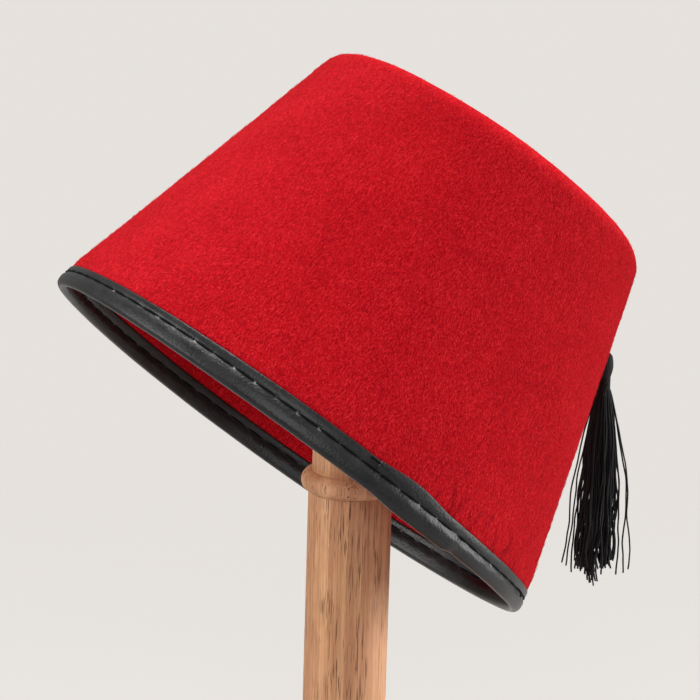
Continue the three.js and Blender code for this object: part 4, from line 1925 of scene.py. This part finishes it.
@dataclass
class HatStand:
    """The turned stand: a post with a bead and a ball, set in a round foot."""

    foot_radius: float = 85.0
    foot_height: float = 18.0
    foot_rounding: float = 4.0
    tenon_radius: float = 9.0
    tenon_length: float = 12.0
    post_radius: float = 14.3
    bead_height: float = 200.0
    bead_centre: float = 13.1
    bead_section: float = 3.8
    neck_radius: float = 13.2
    ball_radius: float = 38.0
    ball_centre: float = 295.6
    crease: float = 0.35
    chamfer: float = 0.8
    shoulder_chamfer: float = 0.6
    socket_chamfer: float = 0.4
    segments: int = 144

    def post(self, finish: bpy.types.Material) -> bpy.types.Object:
        """Turns the tenon, the post, the bead, the neck and the ball in one piece.

        Args:
            finish: The post's finish.

        Returns:
            The piece.
        """
        bead = (self.bead_centre, self.bead_height)
        low_bead = -math.acos((self.post_radius - self.bead_centre) / self.bead_section)
        high_bead = math.acos((self.neck_radius - self.bead_centre) / self.bead_section)
        bead_arc = arc(bead, self.bead_section, low_bead, high_bead, 22)
        bottom = self.foot_height - self.tenon_length
        shoulder = self.foot_height + GAP
        chamfer = self.chamfer
        low_ball = -math.acos(self.neck_radius / self.ball_radius)
        profile = [
            np.array([(0.0, bottom), (self.tenon_radius - chamfer, bottom)]),
            np.array([(self.tenon_radius, bottom + chamfer), (self.tenon_radius, shoulder)]),
            np.array([(self.post_radius - self.shoulder_chamfer, shoulder)]),
            self._shaft(shoulder + self.shoulder_chamfer, bead_arc[0][1] - self.crease, self.post_radius),
            np.array([(self.post_radius - self.crease, bead_arc[0][1])]),
            bead_arc[1:-1],
            np.array([(self.neck_radius - self.crease, bead_arc[-1][1])]),
        ]
        ball_arc = arc((0.0, self.ball_centre), self.ball_radius, low_ball, math.pi / 2, 60)
        profile.append(self._shaft(bead_arc[-1][1] + self.crease, ball_arc[0][1], self.neck_radius))
        profile.append(ball_arc[1:-1])
        profile.append(np.array([(0.0, self.ball_centre + self.ball_radius)]))
        return turned("turned_post", np.vstack(profile), self.segments, finish)

    @staticmethod
    def _shaft(low: float, high: float, radius: float) -> np.ndarray:
        """A straight stretch of post, with rows 6 mm apart."""
        rows = max(2, round((high - low) / 6))
        return np.column_stack((np.full(rows, radius), np.linspace(low, high, rows)))

    def foot(self, finish: bpy.types.Material) -> bpy.types.Object:
        """Turns the foot, with the socket that holds the post.

        Args:
            finish: The foot's finish.

        Returns:
            The piece.
        """
        socket = self.tenon_radius + GAP
        edge = self.socket_chamfer
        floor = self.foot_height - self.tenon_length - GAP
        centre = (self.foot_radius - self.foot_rounding, self.foot_height - self.foot_rounding)
        profile = [
            np.array([(0.0, floor), (socket, floor), (socket, self.foot_height - edge)]),
            np.column_stack((np.linspace(socket + edge, centre[0], 26), np.full(26, self.foot_height))),
            arc(centre, self.foot_rounding, math.pi / 2, 0.0, 14)[1:],
            np.array([(self.foot_radius, self.chamfer)]),
            np.array([(self.foot_radius - self.chamfer, 0.0), (0.0, 0.0)]),
        ]
        return turned("turned_foot", np.vstack(profile), self.segments, finish)


# ---- The studio ----


@dataclass(frozen=True)
class SoftLight:
    """A square soft light that faces a point, with sizes in metres."""

    name: str
    place: tuple[float, float, float]
    watts: float
    colour: tuple[float, float, float] = (1.0, 1.0, 1.0)
    target: tuple[float, float, float] = (0.0, 0.0, 0.25)
    side: float = 1.3

    def hang(self) -> None:
        """Puts the light in the scene."""
        lamp = bpy.data.lights.new(self.name, "AREA")
        lamp.shape = "SQUARE"
        lamp.size = self.side
        lamp.energy = self.watts
        lamp.color = self.colour
        holder = link_object(self.name, lamp)
        holder.location = self.place
        facing = Vector(self.target) - Vector(self.place)
        holder.rotation_euler = facing.to_track_quat("-Z", "Y").to_euler()


@dataclass(frozen=True)
class FloorPaint(Finish):
    """Pale matt paint, which fades to clear from a solid middle out to the floor's rim."""

    effects: SharedEffects
    colour: tuple
    solid: float
    radius: float
    mottling: float = 0.985
    patch: float = 0.4
    name = "pale_floor"

    def sockets(self, recipe: Recipe) -> dict:
        """Fades with the distance from the origin."""
        place = recipe.place()
        away = recipe.add("ShaderNodeVectorMath", {0: place}, operation="LENGTH").outputs["Value"]
        inputs = {0: away, 1: self.solid, 2: self.radius * 0.97, 3: 1.0, 4: 0.0}
        fade = recipe.add("ShaderNodeMapRange", inputs, interpolation_type="SMOOTHSTEP")
        cloud = recipe.effect(self.effects.mottle, {"Vector": place, "Patch": self.patch})
        darker = (*(part * self.mottling for part in self.colour[:3]), 1)
        return {
            "Base Color": recipe.between(cloud, darker, self.colour),
            "Roughness": 0.9,
            "Specular IOR Level": 0.1,
            "Alpha": fade.outputs[0],
        }


@dataclass
class Studio:
    """A pale floor, soft light and the camera."""

    eye: tuple = (-1.56, -996.15, 482.55)
    pitch: float = math.radians(13.4)
    roll: float = math.radians(1.73)
    focal: float = 156.5
    sensor: float = 36.0
    floor_radius: float = 0.80
    floor_solid: float = 0.22
    floor_colour: tuple = (0.56, 0.545, 0.528, 1)
    sky_colour: tuple = (0.79, 0.755, 0.72, 1)
    sky_seen: float = 1.0
    sky_mirrored: float = 0.4
    sky_light: float = 0.15
    lights: tuple = (
        SoftLight("left_light", (-2.2, -0.5, 1.0), 33.0, (1.0, 0.985, 0.96)),
        SoftLight("front_light", (-0.2, -2.2, 1.1), 20.5),
        SoftLight("right_light", (2.1, 0.2, 0.3), 41.0, (1.0, 0.985, 0.97)),
        SoftLight("top_light", (0.2, 0.5, 2.2), 53.0),
    )

    def camera(self) -> None:
        """Sets up the camera, level on its feet but for a slight roll."""
        lens = bpy.data.cameras.new("camera")
        lens.lens = self.focal
        lens.sensor_width = self.sensor
        lens.clip_start = 0.01
        lens.clip_end = 50.0
        holder = link_object("camera", lens)
        sin_p, cos_p = math.sin(self.pitch), math.cos(self.pitch)
        sin_r, cos_r = math.sin(self.roll), math.cos(self.roll)
        right = Vector((cos_r, sin_p * sin_r, cos_p * sin_r))
        up = Vector((-sin_r, sin_p * cos_r, cos_p * cos_r))
        back = Vector((0.0, -cos_p, sin_p))
        turn = Matrix((right, up, back)).transposed().to_4x4()
        holder.matrix_world = Matrix.Translation(Vector(self.eye) * MM) @ turn
        bpy.context.scene.camera = holder

    def floor(self, effects: SharedEffects) -> None:
        """Lays a round pale floor, which fades out into the sky's colour."""
        radii = np.linspace(0.0, self.floor_radius, 30)
        angles = headings(96)
        points = spun(radii[:, None], angles, 0.0)
        mesh = bpy.data.meshes.new("floor")
        faces = grid_faces(len(radii), len(angles), False, True)
        mesh.from_pydata(points.reshape(-1, 3).tolist(), [], faces)
        floor = link_object("floor", mesh)
        close_poles(floor)
        if mesh.polygons[0].normal.z < 0:
            mesh.flip_normals()
        finish = FloorPaint(effects, self.floor_colour, self.floor_solid, self.floor_radius)
        mesh.materials.append(finish.material())

    def sky(self) -> None:
        """Makes the pale surround, brighter to look at than the light it gives."""
        world = bpy.data.worlds.new("pale_surround")
        world.use_nodes = True
        bpy.context.scene.world = world
        recipe = Recipe(world.node_tree)
        path = recipe.add("ShaderNodeLightPath").outputs
        strength = recipe.blended(path["Is Glossy Ray"], self.sky_light, self.sky_mirrored)
        strength = recipe.blended(path["Is Camera Ray"], strength, self.sky_seen)
        inputs = {"Color": self.sky_colour, "Strength": strength}
        recipe.fill(world.node_tree.nodes["Background"], inputs)

    def light(self) -> None:
        """Hangs the lights, and shows colours as they are."""
        for lamp in self.lights:
            lamp.hang()
        bpy.context.scene.view_settings.view_transform = "Standard"
        bpy.context.scene.view_settings.look = "None"


# ---- Putting it together ----


def settle(piece: bpy.types.Object, slot: str, *nodes: str) -> bpy.types.Object:
    """Makes a piece part of the object, and reports it.

    Args:
        piece: The finished piece.
        slot: Not used.
        nodes: The CAD nodes that it stands for.

    Returns:
        The piece.
    """
    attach(piece, "root")
    if nodes:
        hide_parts(*nodes)
    triangles = sum(len(face.vertices) - 2 for face in piece.data.polygons)
    log.info("%s: %d triangles, stands for %s", piece.name, triangles, ", ".join(nodes) or "no node")
    return piece


def main() -> None:
    """Builds the camera and the cord first, then the hat, the stand and the studio."""
    logging.basicConfig(level=logging.INFO, format="%(name)s: %(message)s")
    studio = Studio()
    studio.camera()
    effects = SharedEffects()
    shape = FezShape()
    lean = Lean(shape)

    cord_thread = Thread(effects, "cord_thread", pitch=0.0011, plies=2.0, depth=0.00006).material()
    strand_thread = Thread(effects, "strand_thread", pitch=0.0016, plies=2.0, roughness=0.42).material()
    sewing_thread = Thread(effects, "sewing_thread", pitch=0.0012, roughness=0.7, gloss=0.05).material()

    hanging = HangingCord(shape, lean)
    cord, centre_line = hanging.build(cord_thread)
    settle(cord, "black_thread", "tassel_cord")
    knot = settle(hanging.knot(cord_thread), "black_thread", "cord_knot")
    tassel = Tassel(hanging.tassel_top())
    head = settle(tassel.head(strand_thread), "black_thread", "tassel_head")
    neck = settle(tassel.neck(strand_thread), "black_thread")
    skirt = settle(tassel.skirt(strand_thread), "black_thread", "tassel_skirt")
    hole = lean.place(np.array([(0.0, 0.0, shape.height)]))[0] * MM

    rim = BoundRim(shape, lean)
    felt = FeltCrown(shape, lean, rim)
    crown = felt.build(WoolFelt(effects).material())
    nap = felt.raise_nap(crown, FeltNap(effects).material())
    settle(crown, "red_felt", "crown")
    settle(nap, "red_felt")
    strip = rim.build(StripFinish(effects).material(), StripBacking(effects).material())
    settle(strip, "black_binding", "rim_binding")
    settle(rim.sew(sewing_thread), "black_thread")
    settle(rim.thread_end(sewing_thread), "black_thread")
    settle(rim.lap_tack(sewing_thread), "black_thread")

    stand = HatStand()
    post_wood = TurnedWood(effects, Grain.UPRIGHT, "post_wood").material()
    foot_wood = TurnedWood(effects, Grain.LEVEL, "foot_wood").material()
    settle(stand.post(post_wood), "turned_wood", "stand_post")
    settle(stand.foot(foot_wood), "turned_wood", "stand_foot")

    studio.floor(effects)
    studio.sky()
    studio.light()


if __name__ == "__main__":
    main()
